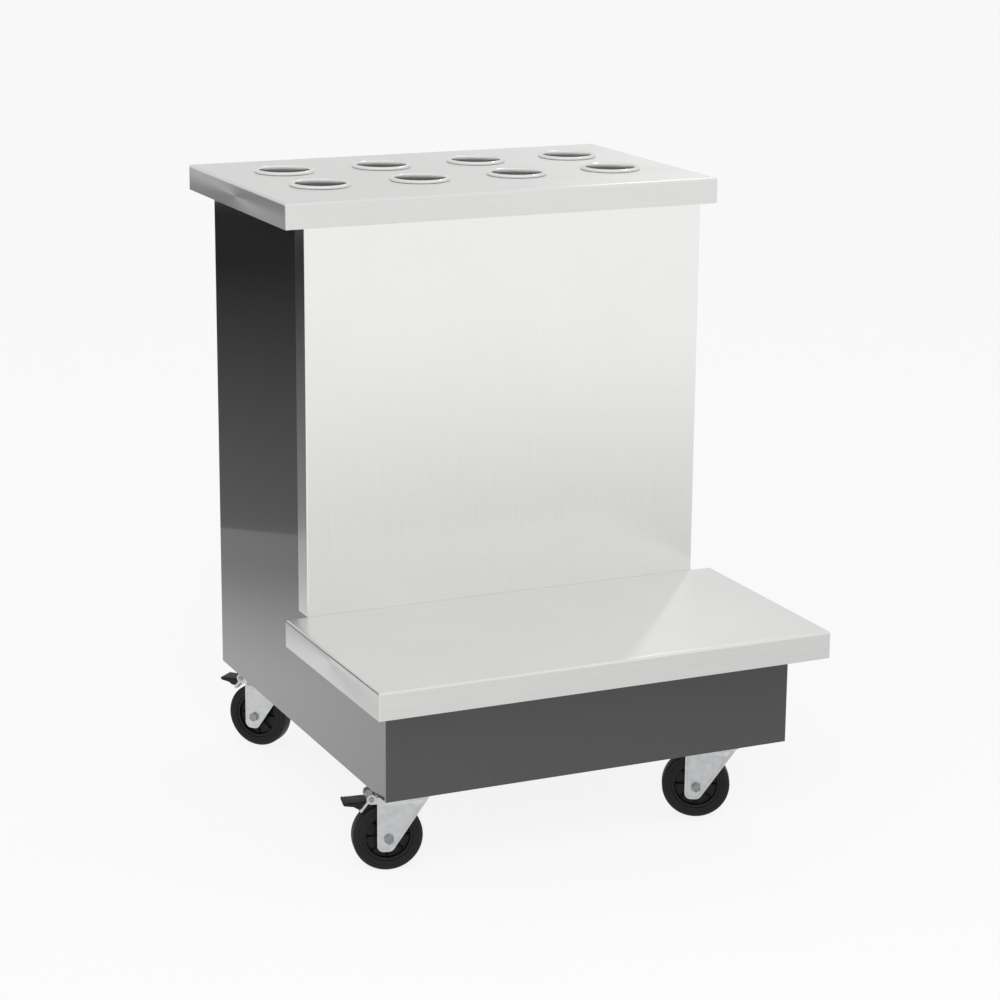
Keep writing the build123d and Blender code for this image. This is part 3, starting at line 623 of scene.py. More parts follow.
def make_piece(name, surfaces, slot, body, node, crease=35.0, wall=0.0, bevel=0.0):
    """Joins surfaces, in millimetres, into one object that replaces a node and rides on its body. A wall
    gives an open sheet its thickness, half on each side, and a bevel breaks its sharp edges."""
    starts = np.cumsum([0] + [len(points) for points, _ in surfaces])
    vertices = np.concatenate([points for points, _ in surfaces]) * MM
    faces = []
    for start, (_, quads) in zip(starts, surfaces):
        faces += (np.asarray(quads) + start).tolist()
    mesh = bpy.data.meshes.new(name)
    mesh.from_pydata(vertices.tolist(), [], faces)
    solid = bmesh.new()
    solid.from_mesh(mesh)
    bmesh.ops.remove_doubles(solid, verts=solid.verts, dist=MERGE_DISTANCE)
    bmesh.ops.dissolve_degenerate(solid, edges=solid.edges, dist=COLLAPSE_DISTANCE)
    bmesh.ops.recalc_face_normals(solid, faces=solid.faces)
    solid.to_mesh(mesh)
    solid.free()
    mesh.shade_smooth()
    mesh.set_sharp_from_angle(angle=math.radians(crease))
    mesh.materials.append(FINISHES[slot])
    piece = bpy.data.objects.new(name, mesh)
    scene.collection.objects.link(piece)
    if wall:
        sheet = piece.modifiers.new("wall", "SOLIDIFY")
        sheet.thickness = wall * MM
        sheet.offset = 0.0
    if bevel:
        edge = piece.modifiers.new("broken_edges", "BEVEL")
        edge.width = bevel * MM
        edge.segments = 2
        edge.limit_method = "ANGLE"
        edge.angle_limit = math.radians(crease)
    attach(piece, body)
    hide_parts(node)
    mesh.calc_loop_triangles()
    triangles[name] = len(mesh.loop_triangles) * (2 if wall else 1)


print("points closer than", MERGE_DISTANCE / MM, "mm are merged")

# %% [markdown]
# Most round parts are turned: a profile of radius and height is carried round an axis. A profile is
# drawn with straight runs, and its corners are then eased with arcs, as a lathe tool or a mould would
# leave them.

# %% Outlines and turned shapes
ROUND_STEPS = 96


def eased(corners, radii, steps=5):
    """Replaces each corner by an arc of its radius that touches both runs: it starts r / tan(half the
    angle) before the corner, and its directions from the arc's centre turn evenly from one to the other."""
    corners = np.asarray(corners, float)
    s = np.linspace(0, 1, steps + 1)[:, None]
    outline = []
    for i, radius in enumerate(radii):
        corner = corners[i]
        if radius == 0:
            outline.append(corner[None])
            continue
        back, ahead = corners[i - 1] - corner, corners[(i + 1) % len(corners)] - corner
        u, v = back / np.linalg.norm(back), ahead / np.linalg.norm(ahead)
        half = math.acos(float(np.clip(np.dot(u, v), -1, 1))) / 2
        centre = corner + (u + v) / np.linalg.norm(u + v) * radius / math.sin(half)
        reach = radius / math.tan(half)
        first, last = (corner + u * reach - centre) / radius, (corner + v * reach - centre) / radius
        turn = math.pi - 2 * half
        arc = (np.sin((1 - s) * turn) * first + np.sin(s * turn) * last) / math.sin(turn)
        outline.append(centre + radius * arc)
    return np.concatenate(outline)


def rolled(radius, angle, height):
    """The points (r cos a, r sin a, h), with radius r and angle a round the Z axis, at the height h."""
    return np.stack([radius * np.cos(angle), radius * np.sin(angle), height + 0 * angle], -1)


def turned(profile, steps=ROUND_STEPS):
    """Every row of the profile, a radius and a height, is carried round at the angles 2 pi j / steps."""
    radius, height = np.asarray(profile, float).T[:, :, None]
    return rolled(radius, np.linspace(0, 2 * np.pi, steps, endpoint=False), height)


print("round parts have", ROUND_STEPS, "steps")

# %% [markdown]
# ## Silverware cylinders
#
# Eight round cups hang in the top by rolled rims. Their holes let washed silverware dry: the usual
# pattern is staggered rows of round holes, punched before the wall is rolled. The photograph looks over
# the rims and doesn't show them, so the pattern is what is usual. The sheet is made flat, of unit cells
# that join a square to the hole in it, with odd rows moved on by half a cell.

# %% Pierced sheet
def pierced(across, rows, hole, sides):
    """Unit cells with a hole in each. Walking t from 0 to 1 round a cell, the square's point is
    (clip(2 w(t)), clip(2 w(t - 1/4))) / 2 with w a triangle wave, so its sides are divided evenly, and
    the hole's is (cos 2 pi t, sin 2 pi t) times half the hole's two widths. Gives (u, v) and quads."""
    t = np.arange(sides) / sides
    wave = 1 - 4 * np.abs((np.stack([t, t - 0.25]) + 0.5) % 1 - 0.5)
    square = np.clip(2 * wave, -1, 1).T / 2
    ring = np.stack([np.cos(2 * np.pi * t), np.sin(2 * np.pi * t)], -1) * np.asarray(hole) / 2
    i, j = np.meshgrid(np.arange(rows), np.arange(across), indexing="ij")
    centres = np.stack([j + 0.5 + 0.5 * (i % 2), i + 0.5], -1).reshape(-1, 1, 2)
    uv = centres + np.concatenate([square, ring])
    k = np.arange(sides)
    n = (k + 1) % sides
    cell = np.stack([k, n, n + sides, k + sides], -1)
    quads = cell + 2 * sides * np.arange(across * rows)[:, None, None]
    return uv.reshape(-1, 2), quads.reshape(-1, 4)


print("a cell of four sides has", len(pierced(1, 1, (0.5, 0.5), 4)[1]), "quads")

# %% [markdown]
# The flat sheet is then rolled, by turning its width into an angle. The rim, the lower corner and the
# floor are turned sheets, and one Solidify modifier gives everything its wall.

# %% Cups
CUP_WALL = 1.0
CUP_RADIUS = 49.0
CUP_RIM_HEIGHT = 6.0
CUP_RIM_ROUND = 2.5
CUP_CORNER = 4.0
CUP_PLAIN_FOOT = 10.0
WALL_HOLES_AROUND = 24
WALL_HOLE_ROWS = 7
WALL_HOLE = 6.5
WALL_HOLE_SIDES = 16
FLOOR_HOLES = 6
FLOOR_HOLE = 8.0
FLOOR_HOLE_CIRCLE = 25.0
FLOOR_BAND = (17.0, 33.0)


def silverware_cylinder(number):
    """Wall: angle = 2 pi u / holes around, height rises with v. Floor: angle = 2 pi u / holes, radius
    goes from the inner to the outer edge of its band with v."""
    node = f"silverware_cylinder_{number}"
    low, high = (np.array(c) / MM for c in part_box(node))
    skin = CUP_RADIUS - CUP_WALL / 2
    outer = (high[0] - low[0]) / 2 - CUP_WALL / 2
    brim, seat = high[2] - CUP_WALL / 2, high[2] - CUP_RIM_HEIGHT + CUP_WALL / 2
    bottom = low[2] + CUP_WALL / 2
    pitch = 2 * math.pi * skin / WALL_HOLES_AROUND
    wall_low = bottom + CUP_CORNER + CUP_PLAIN_FOOT
    wall_high = wall_low + WALL_HOLE_ROWS * pitch
    uv, wall_quads = pierced(WALL_HOLES_AROUND, WALL_HOLE_ROWS, (WALL_HOLE / pitch,) * 2, WALL_HOLE_SIDES)
    wall = rolled(skin, 2 * np.pi * uv[:, 0] / WALL_HOLES_AROUND, wall_low + uv[:, 1] * pitch)
    inner, width = FLOOR_BAND[0], FLOOR_BAND[1] - FLOOR_BAND[0]
    sector = 2 * np.pi / FLOOR_HOLES
    floor_hole = (FLOOR_HOLE / FLOOR_HOLE_CIRCLE / sector, FLOOR_HOLE / width)
    uv, floor_quads = pierced(FLOOR_HOLES, 1, floor_hole, 4 * ROUND_STEPS // FLOOR_HOLES)
    floor = rolled(inner + uv[:, 1] * width, sector * uv[:, 0], bottom)
    rim_corners = [(skin, wall_high), (skin, brim), (outer, brim), (outer, seat)]
    rim = eased(rim_corners, (0, CUP_RIM_ROUND, CUP_RIM_ROUND, 0))
    foot = eased([(skin, wall_low), (skin, bottom), (FLOOR_BAND[1], bottom)], (0, CUP_CORNER, 0))
    middle = [(inner, bottom), (FLOOR_HOLE / 2, bottom)]
    rings = [grid(turned(profile), loop_columns=True) for profile in (rim, foot, middle)]
    place = (low + high) / 2 * (1, 1, 0)
    moved = [(points + place, quads) for points, quads in [(wall, wall_quads), (floor, floor_quads), *rings]]
    name = f"pierced_cylinder_{number}"
    make_piece(name, moved, "stainless_cylinder", f"cylinder_{number}", node, crease=40.0, wall=CUP_WALL)


for number in range(1, 9):
    silverware_cylinder(number)
print("cylinders 8, holes in each wall", WALL_HOLES_AROUND * WALL_HOLE_ROWS)

# %% [markdown]
# ## Casters
#
# Every caster is worked out once in its own frame: X along the trail from the kingpin to the axle, Y
# along the axle, Z up. The frame's joints say where each kingpin stands and how each caster is turned,
# so the same points are carried to the four corners, each at its own angle, as casters stand when a
# trolley has been pushed about.

# %% A caster's own frame
CORNERS = ("front_left", "front_right", "rear_left", "rear_right")
BRAKED = ("front_left", "rear_left")
kingpins = {corner: np.array(joints[f"{corner}_swivel_turn"]["pos_m"]) / MM for corner in CORNERS}
axles = {corner: np.array(joints[f"{corner}_wheel_roll"]["pos_m"]) / MM for corner in CORNERS}
TRAIL = float(np.linalg.norm((axles["front_left"] - kingpins["front_left"])[:2]))
WHEEL_RADIUS = float(axles["front_left"][2])


def on_axle(points):
    """A shape turned round Z is laid on the axle: its X, Y and Z become X, Z and Y from the axle."""
    return np.stack([TRAIL + points[..., 0], points[..., 2], WHEEL_RADIUS + points[..., 1]], -1)


def on_caster(corner, surfaces, name, slot, body, node, **edges):
    """Each point becomes kingpin + x * trail direction + y * axle direction + z * up, and the piece goes
    to that caster's body and node."""
    kingpin = kingpins[corner] * (1, 1, 0)
    trail = axles[corner] * (1, 1, 0) - kingpin
    along_axle = np.array(joints[f"{corner}_wheel_roll"]["axis"])
    axes = np.stack([trail / np.linalg.norm(trail), along_axle, (0.0, 0.0, 1.0)])
    placed = [(kingpin + points @ axes, quads) for points, quads in surfaces]
    make_piece(f"{corner}_{name}", placed, slot, f"{corner}_{body}", f"{corner}_{node}", **edges)


print("trail", round(TRAIL, 1), "mm, wheel radius", round(WHEEL_RADIUS, 1), "mm")

# %% [markdown]
# The tyre is a ring of hard rubber pressed on the centre, with round shoulders, a moulded line round
# each side and a slightly lower edge where it meets the centre. The wheel centre is a moulded
# polypropylene disc between hub and rim, with eight shallow ribs that stiffen it.

# %% Tyres and wheel centres
TYRE_BORE = 46.0
TYRE_HALF = 16.0
TYRE_EDGE = ((TYRE_BORE, 15.2), (49.5, 15.2), (50.3, TYRE_HALF))
TYRE_LINE = ((53.2, TYRE_HALF), (53.8, 15.3), (54.4, TYRE_HALF))
TYRE_ROUNDS = [0, 0.4, 0.4, 0.25, 0.25, 0.25, 6.0]
CORE_HALF = 14.0
CORE_RIM = 40.0
WEB_HALF = 6.0
WEB_ROWS = 9
WEB_MARGIN = 3.0
WEB_SLACK = 0.05
HUB_RADIUS = 15.0
HUB_HALF = 19.0
BUSH_RADIUS = 6.0
CORE_ROUNDS = [0, 1.0, 2.5] + [0] * WEB_ROWS + [2.5, 0.8, 0.8]
RIB_COUNT = 8
RIB_HEIGHT = 5.0
RIB_HALF = 2.0


def mirrored_ring(half, rounds, arc_steps, around):
    """A closed ring from half of its profile, radius and height: the other half is its mirror image."""
    corners = half + [(r, -h) for r, h in reversed(half)]
    return turned(eased(corners, rounds + rounds[::-1], arc_steps), around)


def tyre():
    """Half the profile, from the bore outward: the low edge, the moulded line and the round shoulder."""
    half = [(r, -h) for r, h in (*TYRE_EDGE, *TYRE_LINE, (WHEEL_RADIUS, TYRE_HALF))]
    return [grid(on_axle(mirrored_ring(half, TYRE_ROUNDS, 6, ROUND_STEPS)), True, True)]


def wheel_centre():
    """The turned profile, with the web raised by RIB_HEIGHT * exp(-(d / RIB_HALF)^4), where d is the
    distance in millimetres from the nearest rib's line."""
    web = [(r, WEB_HALF) for r in np.linspace(HUB_RADIUS + WEB_MARGIN, CORE_RIM - WEB_MARGIN, WEB_ROWS)]
    half = [(BUSH_RADIUS, HUB_HALF), (HUB_RADIUS, HUB_HALF), (HUB_RADIUS, WEB_HALF), *web]
    half += [(CORE_RIM, WEB_HALF), (CORE_RIM, CORE_HALF), (TYRE_BORE, CORE_HALF)]
    points = mirrored_ring(half, CORE_ROUNDS, 4, 3 * ROUND_STEPS)
    radius, height = np.hypot(points[..., 0], points[..., 1]), points[..., 2]
    angle = np.arctan2(points[..., 1], points[..., 0]) * RIB_COUNT / 2
    distance = radius * np.abs(np.sin(angle)) * 2 / RIB_COUNT
    inner, outer = HUB_RADIUS + WEB_MARGIN - WEB_SLACK, CORE_RIM - WEB_MARGIN + WEB_SLACK
    on_web = (np.abs(height) < WEB_HALF + WEB_SLACK) & (radius > inner) & (radius < outer)
    raised = np.sign(height) * RIB_HEIGHT * np.exp(-((distance / RIB_HALF) ** 4))
    points[..., 2] += np.where(on_web, raised, 0.0)
    return [grid(on_axle(points), True, True)]


for corner in CORNERS:
    on_caster(corner, tyre(), "solid_tyre", "black_rubber", "wheel", "tyre")
    on_caster(corner, wheel_centre(), "wheel_centre", "black_core", "wheel", "wheel_core")
print("triangles so far", sum(triangles.values()))

# %% [markdown]
# The fork is pressed from one 3 mm plate: two legs bent down from a crown. Each leg has a shallow
# pressed panel inside a plain border, which stiffens it and catches the light. It can be made as one
# sheet whose rows follow the U from foot to foot, and whose columns run from the slanting front edge to
# the straight back one.

# %% Pressed forks
FORK_SHEET = 3.0
FORK_MIDDLE = 21.5
FORK_BEND = 5.0
CROWN_MIDDLE = 140.5
CROWN_TOP = CROWN_MIDDLE + FORK_SHEET / 2
CROWN_LEAD = 32.0
LEG_BACK = 65.0
LEG_FOOT_Z = 38.5
LEG_FOOT_X = 38.0
FOOT_ROUND = 12.0
PANEL_RAISE = 2.0
PANEL_BORDER = 5.0
PANEL_SLOPE = 1.8
PANEL_TOP = (129.0, 133.0)
EDGE_COLUMNS = np.array([0.0, 2.0, 4.5, 5.0, 5.6, 6.2, 6.8, 7.4, 8.0])
EDGE_SHARE = 0.42
FRONT_SLANT = 1.2


def smooth_step(value, low, high):
    """0 below low, 1 above high, and 3 t^2 - 2 t^3 between."""
    t = np.clip((value - low) / (high - low), 0, 1)
    return t * t * (3 - 2 * t)


def leg_edges(z):
    """The front and back edges of the leg at the heights z, read off its outline with a round foot."""
    foot = [(LEG_FOOT_X, LEG_FOOT_Z), (LEG_BACK, LEG_FOOT_Z)]
    corners = [(-CROWN_LEAD, CROWN_TOP), *foot, (LEG_BACK, CROWN_TOP)]
    outline = eased(corners, (0, FOOT_ROUND, FOOT_ROUND, 0), 24)
    from_middle = np.abs(outline[:, 0] - (LEG_FOOT_X + LEG_BACK) / 2)
    turn = int(np.argmin(outline[:, 1] + 0.001 * from_middle))
    front, back = outline[:turn + 1][::-1], outline[turn:]
    return np.interp(z, front[:, 1], front[:, 0]), np.interp(z, back[:, 1], back[:, 0])


def thick_sheet(points, thickness):
    """A closed plate round a grid of middle points: both faces lie half the thickness along the normal,
    the cross product of the grid's two directions, and strips close the four rims."""
    normal = np.cross(np.gradient(points, axis=0), np.gradient(points, axis=1))
    normal /= np.linalg.norm(normal, axis=-1, keepdims=True)
    outside, inside = points + normal * thickness / 2, points - normal * thickness / 2
    ring = np.concatenate([outside, inside[:, ::-1]], axis=1)
    ends = [grid(np.stack([outside[i], inside[i]])) for i in (0, -1)]
    return [grid(ring, loop_columns=True), *ends]


def fork_sheet():
    """Rows: height z down one leg, an arc, the crown, and back. Columns: EDGE_COLUMNS from either edge,
    squeezed where the leg is narrow, and seven between. The pressed panel stands out by a smooth step of
    the distance from every edge."""
    foot = LEG_FOOT_Z + FOOT_ROUND * (1 - np.cos(np.linspace(0, np.pi / 2, 9)))
    leg = np.concatenate([foot, np.linspace(foot[-1], CROWN_MIDDLE - FORK_BEND, 30)[1:]])
    bend = np.linspace(0, np.pi / 2, 7)[1:]
    y_half = np.concatenate([0 * leg + FORK_MIDDLE, FORK_MIDDLE - FORK_BEND * (1 - np.cos(bend))])
    z_half = np.concatenate([leg, CROWN_MIDDLE - FORK_BEND + FORK_BEND * np.sin(bend)])
    y = np.concatenate([y_half, -y_half[::-1]])[:, None]
    z = np.concatenate([z_half, z_half[::-1]])[:, None]
    front, back = leg_edges(z)
    squeeze = np.minimum(1.0, EDGE_SHARE * (back - front) / EDGE_COLUMNS[-1])
    near, far = front + EDGE_COLUMNS * squeeze * FRONT_SLANT, back - EDGE_COLUMNS[::-1] * squeeze
    share = np.linspace(0, 1, 9)[1:-1]
    between = near[:, -1:] + (far[:, :1] - near[:, -1:]) * share
    x = np.concatenate([near, between, far], axis=1)
    across = smooth_step(EDGE_COLUMNS, PANEL_BORDER, PANEL_BORDER + PANEL_SLOPE)
    columns = np.concatenate([across, 0 * share + 1, across[::-1]])
    low = LEG_FOOT_Z + PANEL_BORDER
    rows = smooth_step(z, low, low + 2 * PANEL_SLOPE) * smooth_step(-z, -PANEL_TOP[1], -PANEL_TOP[0])
    points = np.stack([x, y + np.sign(y) * PANEL_RAISE * rows * columns, z + 0 * x], -1)
    return thick_sheet(points, FORK_SHEET)


print("fork panel raised", PANEL_RAISE, "mm")

# %% [markdown]
# On the crown sits the lower ball race, a turned ring with a groove for the balls. The braked forks also
# have an ear on each side for the brake's rivet.

# %% Race, ears and the whole fork
RACE_INNER = 24.0
RACE_OUTER = 39.0
RACE_TOP = 147.5
BALL_CIRCLE = 31.0
GROOVE_HALF = 3.0
GROOVE_DEPTH = 1.6
GROOVE_STEPS = 9
PIN_HOLE = 6.6
BRAKE_X = 75.0
BRAKE_Z = 139.0
EAR_RADIUS = 9.0
EAR_ROOT = 20.0
EAR_PROUD = 0.1
EAR_STEPS = 20


def ball_race():
    """A turned ring: the crown's disc, the race on it, and a round groove along the ball circle."""
    low = CROWN_MIDDLE - FORK_SHEET / 2
    s = np.linspace(-1, 1, GROOVE_STEPS)
    groove = [(BALL_CIRCLE + GROOVE_HALF * v, RACE_TOP - GROOVE_DEPTH * math.sqrt(1 - v * v)) for v in s]
    corners = [(PIN_HOLE, low), (PIN_HOLE, CROWN_TOP), (RACE_INNER, CROWN_TOP), (RACE_INNER, RACE_TOP)]
    corners += [*groove, (RACE_OUTER, RACE_TOP), (RACE_OUTER, low)]
    return grid(turned(eased(corners, [0, 0, 0, 0.8] + [0] * GROOVE_STEPS + [1.2, 0.8])), True, True)


def capped(rows):
    """A tube of rows, each a closed outline, with a flat face over its first and its last row."""
    caps = [(rows[i], [list(range(rows.shape[1]))]) for i in (0, -1)]
    return [grid(rows, loop_columns=True), *caps]


def ear(side):
    """A tab from the leg to the brake's rivet: straight edges, and an arc of EAR_RADIUS round the
    rivet. Its outline is carried through the leg's thickness and capped."""
    start = math.asin((CROWN_TOP - BRAKE_Z) / EAR_RADIUS)
    a = np.linspace(-math.pi / 2, math.pi - start, EAR_STEPS)
    arc = np.stack([BRAKE_X + EAR_RADIUS * np.cos(a), BRAKE_Z + EAR_RADIUS * np.sin(a)], -1)
    root = LEG_BACK - EAR_ROOT
    outline = np.concatenate([arc, [(root, CROWN_TOP), (root, BRAKE_Z - EAR_RADIUS)]])
    near, far = FORK_MIDDLE - FORK_SHEET / 2, FORK_MIDDLE + FORK_SHEET / 2 + EAR_PROUD
    levels = side * np.array([near, far])[:, None]
    x, z = outline[:, 0] + 0 * levels, outline[:, 1] + 0 * levels
    return capped(np.stack([x, levels + 0 * x, z], -1))


def fork(braked):
    """The pressed sheet, the race on its crown and, where it is braked, an ear on each side."""
    return fork_sheet() + [ball_race()] + (ear(1) + ear(-1) if braked else [])


for corner in CORNERS:
    on_caster(corner, fork(corner in BRAKED), "pressed_fork", "zinc_plate", "swivel", "fork", bevel=0.35)
print("triangles so far", sum(triangles.values()))

# %% [markdown]
# ## Bolts, nuts and rivets
#
# A hexagon's radius at the angle a is half its width over flats divided by cos(a), with a folded into
# one flat's own 60 degrees. A forged head or a turned nut also has its corners cut by a cone, which
# leaves the curved edges that tell a real bolt from a prism. Taking the smaller of the two radii at
# every height draws both at once.

# %% Hexagons and threads
HEX_STEPS = 48
CONE_SLOPE = math.tan(math.radians(30))
CONE_END = 0.475
CONE_REACH = 0.105
WASHER_HEIGHT = 0.4
THREAD_PITCH = 1.25
THREAD_DEPTH = 0.09
THREAD_END = 0.88


def hexagon(across_flats, height, both_ends=False):
    """Rows rise from the washer face to the top. The radius is min(hexagon, cone), where the cone has
    CONE_END of the width at the very end and widens by 1 / tan 30 degrees below it."""
    a = np.linspace(0, 2 * np.pi, HEX_STEPS, endpoint=False)
    flat = across_flats / 2 / np.cos((a + np.pi / 6) % (np.pi / 3) - np.pi / 6)
    rim = CONE_END * across_flats
    fine = np.linspace(0, across_flats * CONE_REACH * CONE_SLOPE, 5)
    lower = WASHER_HEIGHT + fine if both_ends else np.array([WASHER_HEIGHT])
    levels = np.concatenate([lower, height - fine[::-1]])
    cone = rim + (height - levels) / CONE_SLOPE
    if both_ends:
        cone = np.minimum(cone, rim + (levels - WASHER_HEIGHT) / CONE_SLOPE)
    ends = np.array([0.0, 1.0])[:, None] * rim + 0 * flat
    radius = np.concatenate([ends, np.minimum(flat, cone[:, None]), ends[::-1]])
    level = np.concatenate([[0.0, 0.0], levels, [height, height]])[:, None]
    return rolled(radius, a, level)


def thread(radius, low, high):
    """A bolt's end with ridges: the radius falls by THREAD_DEPTH and rises again once every pitch."""
    count = max(2, int(round((high - low) / THREAD_PITCH)))
    level = np.linspace(low, high, 2 * count + 1)
    crest = radius * (1 - THREAD_DEPTH * (np.arange(2 * count + 1) % 2))
    crest[[0, -1]] = radius * THREAD_END
    return turned(np.stack([np.pad(crest, 1), np.pad(level, 1, mode="edge")], -1), 32)


def rod(radius, low, high, steps=32):
    """A plain turned rod from one height to another."""
    return turned([(0, low), (radius, low), (radius, high), (0, high)], steps)


print("hexagon steps", HEX_STEPS)

# %% [markdown]
# The axle is a bolt through both legs with a lock nut, and the wheel turns on the bush between them. A
# braked caster's set also holds the rivet of its brake.

# %% Axle sets
AXLE_HEAD_WIDTH = 16.0
AXLE_HEAD_HEIGHT = 6.0
AXLE_NUT_HEIGHT = 6.5
AXLE_RADIUS = 4.75
LEG_FACE = FORK_MIDDLE + FORK_SHEET / 2 + PANEL_RAISE
AXLE_TIP = 32.7
BUSH_HALF = 20.0
BUSH_BORE = AXLE_RADIUS + 0.2
RIVET_RADIUS = 3.0
RIVET_HEAD = 5.0
RIVET_HEAD_HEIGHT = 2.0
RIVET_HEAD_ROUND = 1.5
RIVET_FACE = 23.1


def rivet():
    """Half a turned profile and its mirror image, laid along the brake's axis."""
    top = RIVET_FACE + RIVET_HEAD_HEIGHT
    corners = [(0, top), (RIVET_HEAD, top), (RIVET_HEAD, RIVET_FACE), (RIVET_RADIUS, RIVET_FACE)]
    half = eased(corners, (0, RIVET_HEAD_ROUND, 0, 0))
    points = turned(np.concatenate([half, half[::-1] * (1, -1)]), 32)
    return np.stack([BRAKE_X + points[..., 0], points[..., 2], BRAKE_Z + points[..., 1]], -1)


def axle_set(braked):
    """Head and nut seat on the legs' faces, the thread runs on past the nut, and the shank and the bush
    lie between, all round the axle."""
    head = hexagon(AXLE_HEAD_WIDTH, AXLE_HEAD_HEIGHT) + (0, 0, LEG_FACE)
    nut = hexagon(AXLE_HEAD_WIDTH, AXLE_NUT_HEIGHT) * (1, 1, -1) - (0, 0, LEG_FACE)
    end = thread(AXLE_RADIUS, -AXLE_TIP, -LEG_FACE)
    shank = rod(AXLE_RADIUS, -LEG_FACE, LEG_FACE)
    surfaces = [grid(on_axle(shape), loop_columns=True) for shape in (head, nut, end, shank)]
    radii = (BUSH_BORE, BUSH_RADIUS)
    bush = [(r, -BUSH_HALF) for r in radii] + [(r, BUSH_HALF) for r in radii[::-1]]
    surfaces.append(grid(on_axle(turned(bush, 48)), True, True))
    if braked:
        surfaces.append(grid(rivet(), loop_columns=True))
    return surfaces


for corner in CORNERS:
    shapes = axle_set(corner in BRAKED)
    on_caster(corner, shapes, "axle_bolt_and_nut", "bright_fastener", "swivel", "axle_set", crease=30.0)
print("triangles so far", sum(triangles.values()))

# %% [markdown]
# ## Brake pedals
#
# The left casters carry black nylon pedals on a pivoting steel arm. A foot needs grip, so the tread has
# ridges across it. The side outline is drawn once, ridges included, and carried across the width; near
# both sides it shrinks along its own normals, which rounds the side edges like a mould does.

# %% Pedals
ARM_REACH = (19.0, -25.0)
ARM_HALF = 2.5
PEDAL_START = 8.0
PEDAL_RIB = 17.0
PEDAL_LENGTH = 44.0
PEDAL_THICKNESS = 6.5
PEDAL_NOSE = 3.0
PEDAL_STEP = 24.0
PEDAL_STEP_DEPTH = 9.0
PEDAL_TOE = 7.0
PEDAL_HALF = 18.0
PEDAL_ROUND = 1.2
PEDAL_EDGE = 0.3
PEDAL_CORNERS = [1.2, 1.5, 1.5, 4.0, 1.0, PEDAL_EDGE]
TREAD_START = 6.0
TREAD_END = PEDAL_NOSE + 1.0
RIDGE_COUNT = 7
RIDGE_DEPTH = 0.9
RIDGE_STEPS = 12
RIDGE_POWER = 0.7


def beside_arm(along, outward):
    """The point at a distance along the arm from its pivot and a distance away from the wheel."""
    dx, dz = np.array(ARM_REACH) / np.hypot(*ARM_REACH)
    return BRAKE_X + along * dx - outward * dz, BRAKE_Z + along * dz + outward * dx


def pedal_outline():
    """The pedal from the side. Its tread falls by RIDGE_DEPTH * |sin(pi n)|^RIDGE_POWER, with n the
    number of ridges passed."""
    (x, top), low = beside_arm(PEDAL_START, ARM_HALF), beside_arm(PEDAL_START + PEDAL_RIB, ARM_HALF)
    tip = x + PEDAL_LENGTH
    tread_x = np.linspace(x + TREAD_START, tip - TREAD_END, RIDGE_STEPS * RIDGE_COUNT + 1)
    ridge = np.abs(np.sin(np.linspace(0, RIDGE_COUNT * np.pi, len(tread_x)))) ** RIDGE_POWER
    tread = np.stack([tread_x, top - RIDGE_DEPTH * ridge], -1)
    corners = [
        (x, top),
        *tread,
        (tip - PEDAL_NOSE, top),
        (tip, top - PEDAL_NOSE),
        (tip - PEDAL_NOSE, top - PEDAL_THICKNESS),
        (x + PEDAL_STEP, top - PEDAL_STEP_DEPTH),
        (low[0] + PEDAL_TOE, low[1]),
        low,
    ]
    return eased(corners, [PEDAL_EDGE] + [0] * len(tread) + PEDAL_CORNERS, 4)


def pedal():
    """Row k of the grid is the outline moved inward by r - sqrt(r^2 - (r - d)^2), with d the distance
    from the side and r the side's rounding."""
    outline = pedal_outline()
    ahead, back = np.roll(outline, -1, axis=0), np.roll(outline, 1, axis=0)
    along = (ahead - back) / np.linalg.norm(ahead - back, axis=1, keepdims=True)
    inward = np.stack([along[:, 1], -along[:, 0]], -1)
    depth = PEDAL_ROUND * (1 - np.cos(np.linspace(0, np.pi / 2, 5)))
    d = np.concatenate([depth, [PEDAL_HALF], 2 * PEDAL_HALF - depth[::-1]])
    edge = np.minimum(np.minimum(d, 2 * PEDAL_HALF - d), PEDAL_ROUND)
    inset = PEDAL_ROUND - np.sqrt(PEDAL_ROUND ** 2 - (PEDAL_ROUND - edge) ** 2)
    shape = outline[None] + inward[None] * inset[:, None, None]
    y = (d - PEDAL_HALF)[:, None] + 0 * shape[..., 0]
    return capped(np.stack([shape[..., 0], y, shape[..., 1]], -1))


for corner in BRAKED:
    on_caster(corner, pedal(), "ridged_pedal", "black_pedal", "brake", "brake_pedal", crease=40.0)
print("pedal ridges", RIDGE_COUNT)

# %% [markdown]
# ## Fixings of the body
#
# Ten pan-head screws hold the side panels' rear flanges to the uprights. A pan head is a low dome, and
# its cross recess is a smooth pit in it: the dome's height minus a pit wherever a point lies near either
# arm of the cross.

# %% Rear screws
SCREW_HEAD = 4.5
SCREW_SHANK = 2.0
SCREW_LENGTH = 12.0
SCREW_STEPS = 56
SCREW_ROWS = 22
SCREWS_EACH_SIDE = 5
DOME_HEIGHT = 2.2
DOME_RIM = 0.9
DOME_POWER = 2.6
CROSS_ARM = 2.2
CROSS_HALF = 0.55
CROSS_DEPTH = 1.4


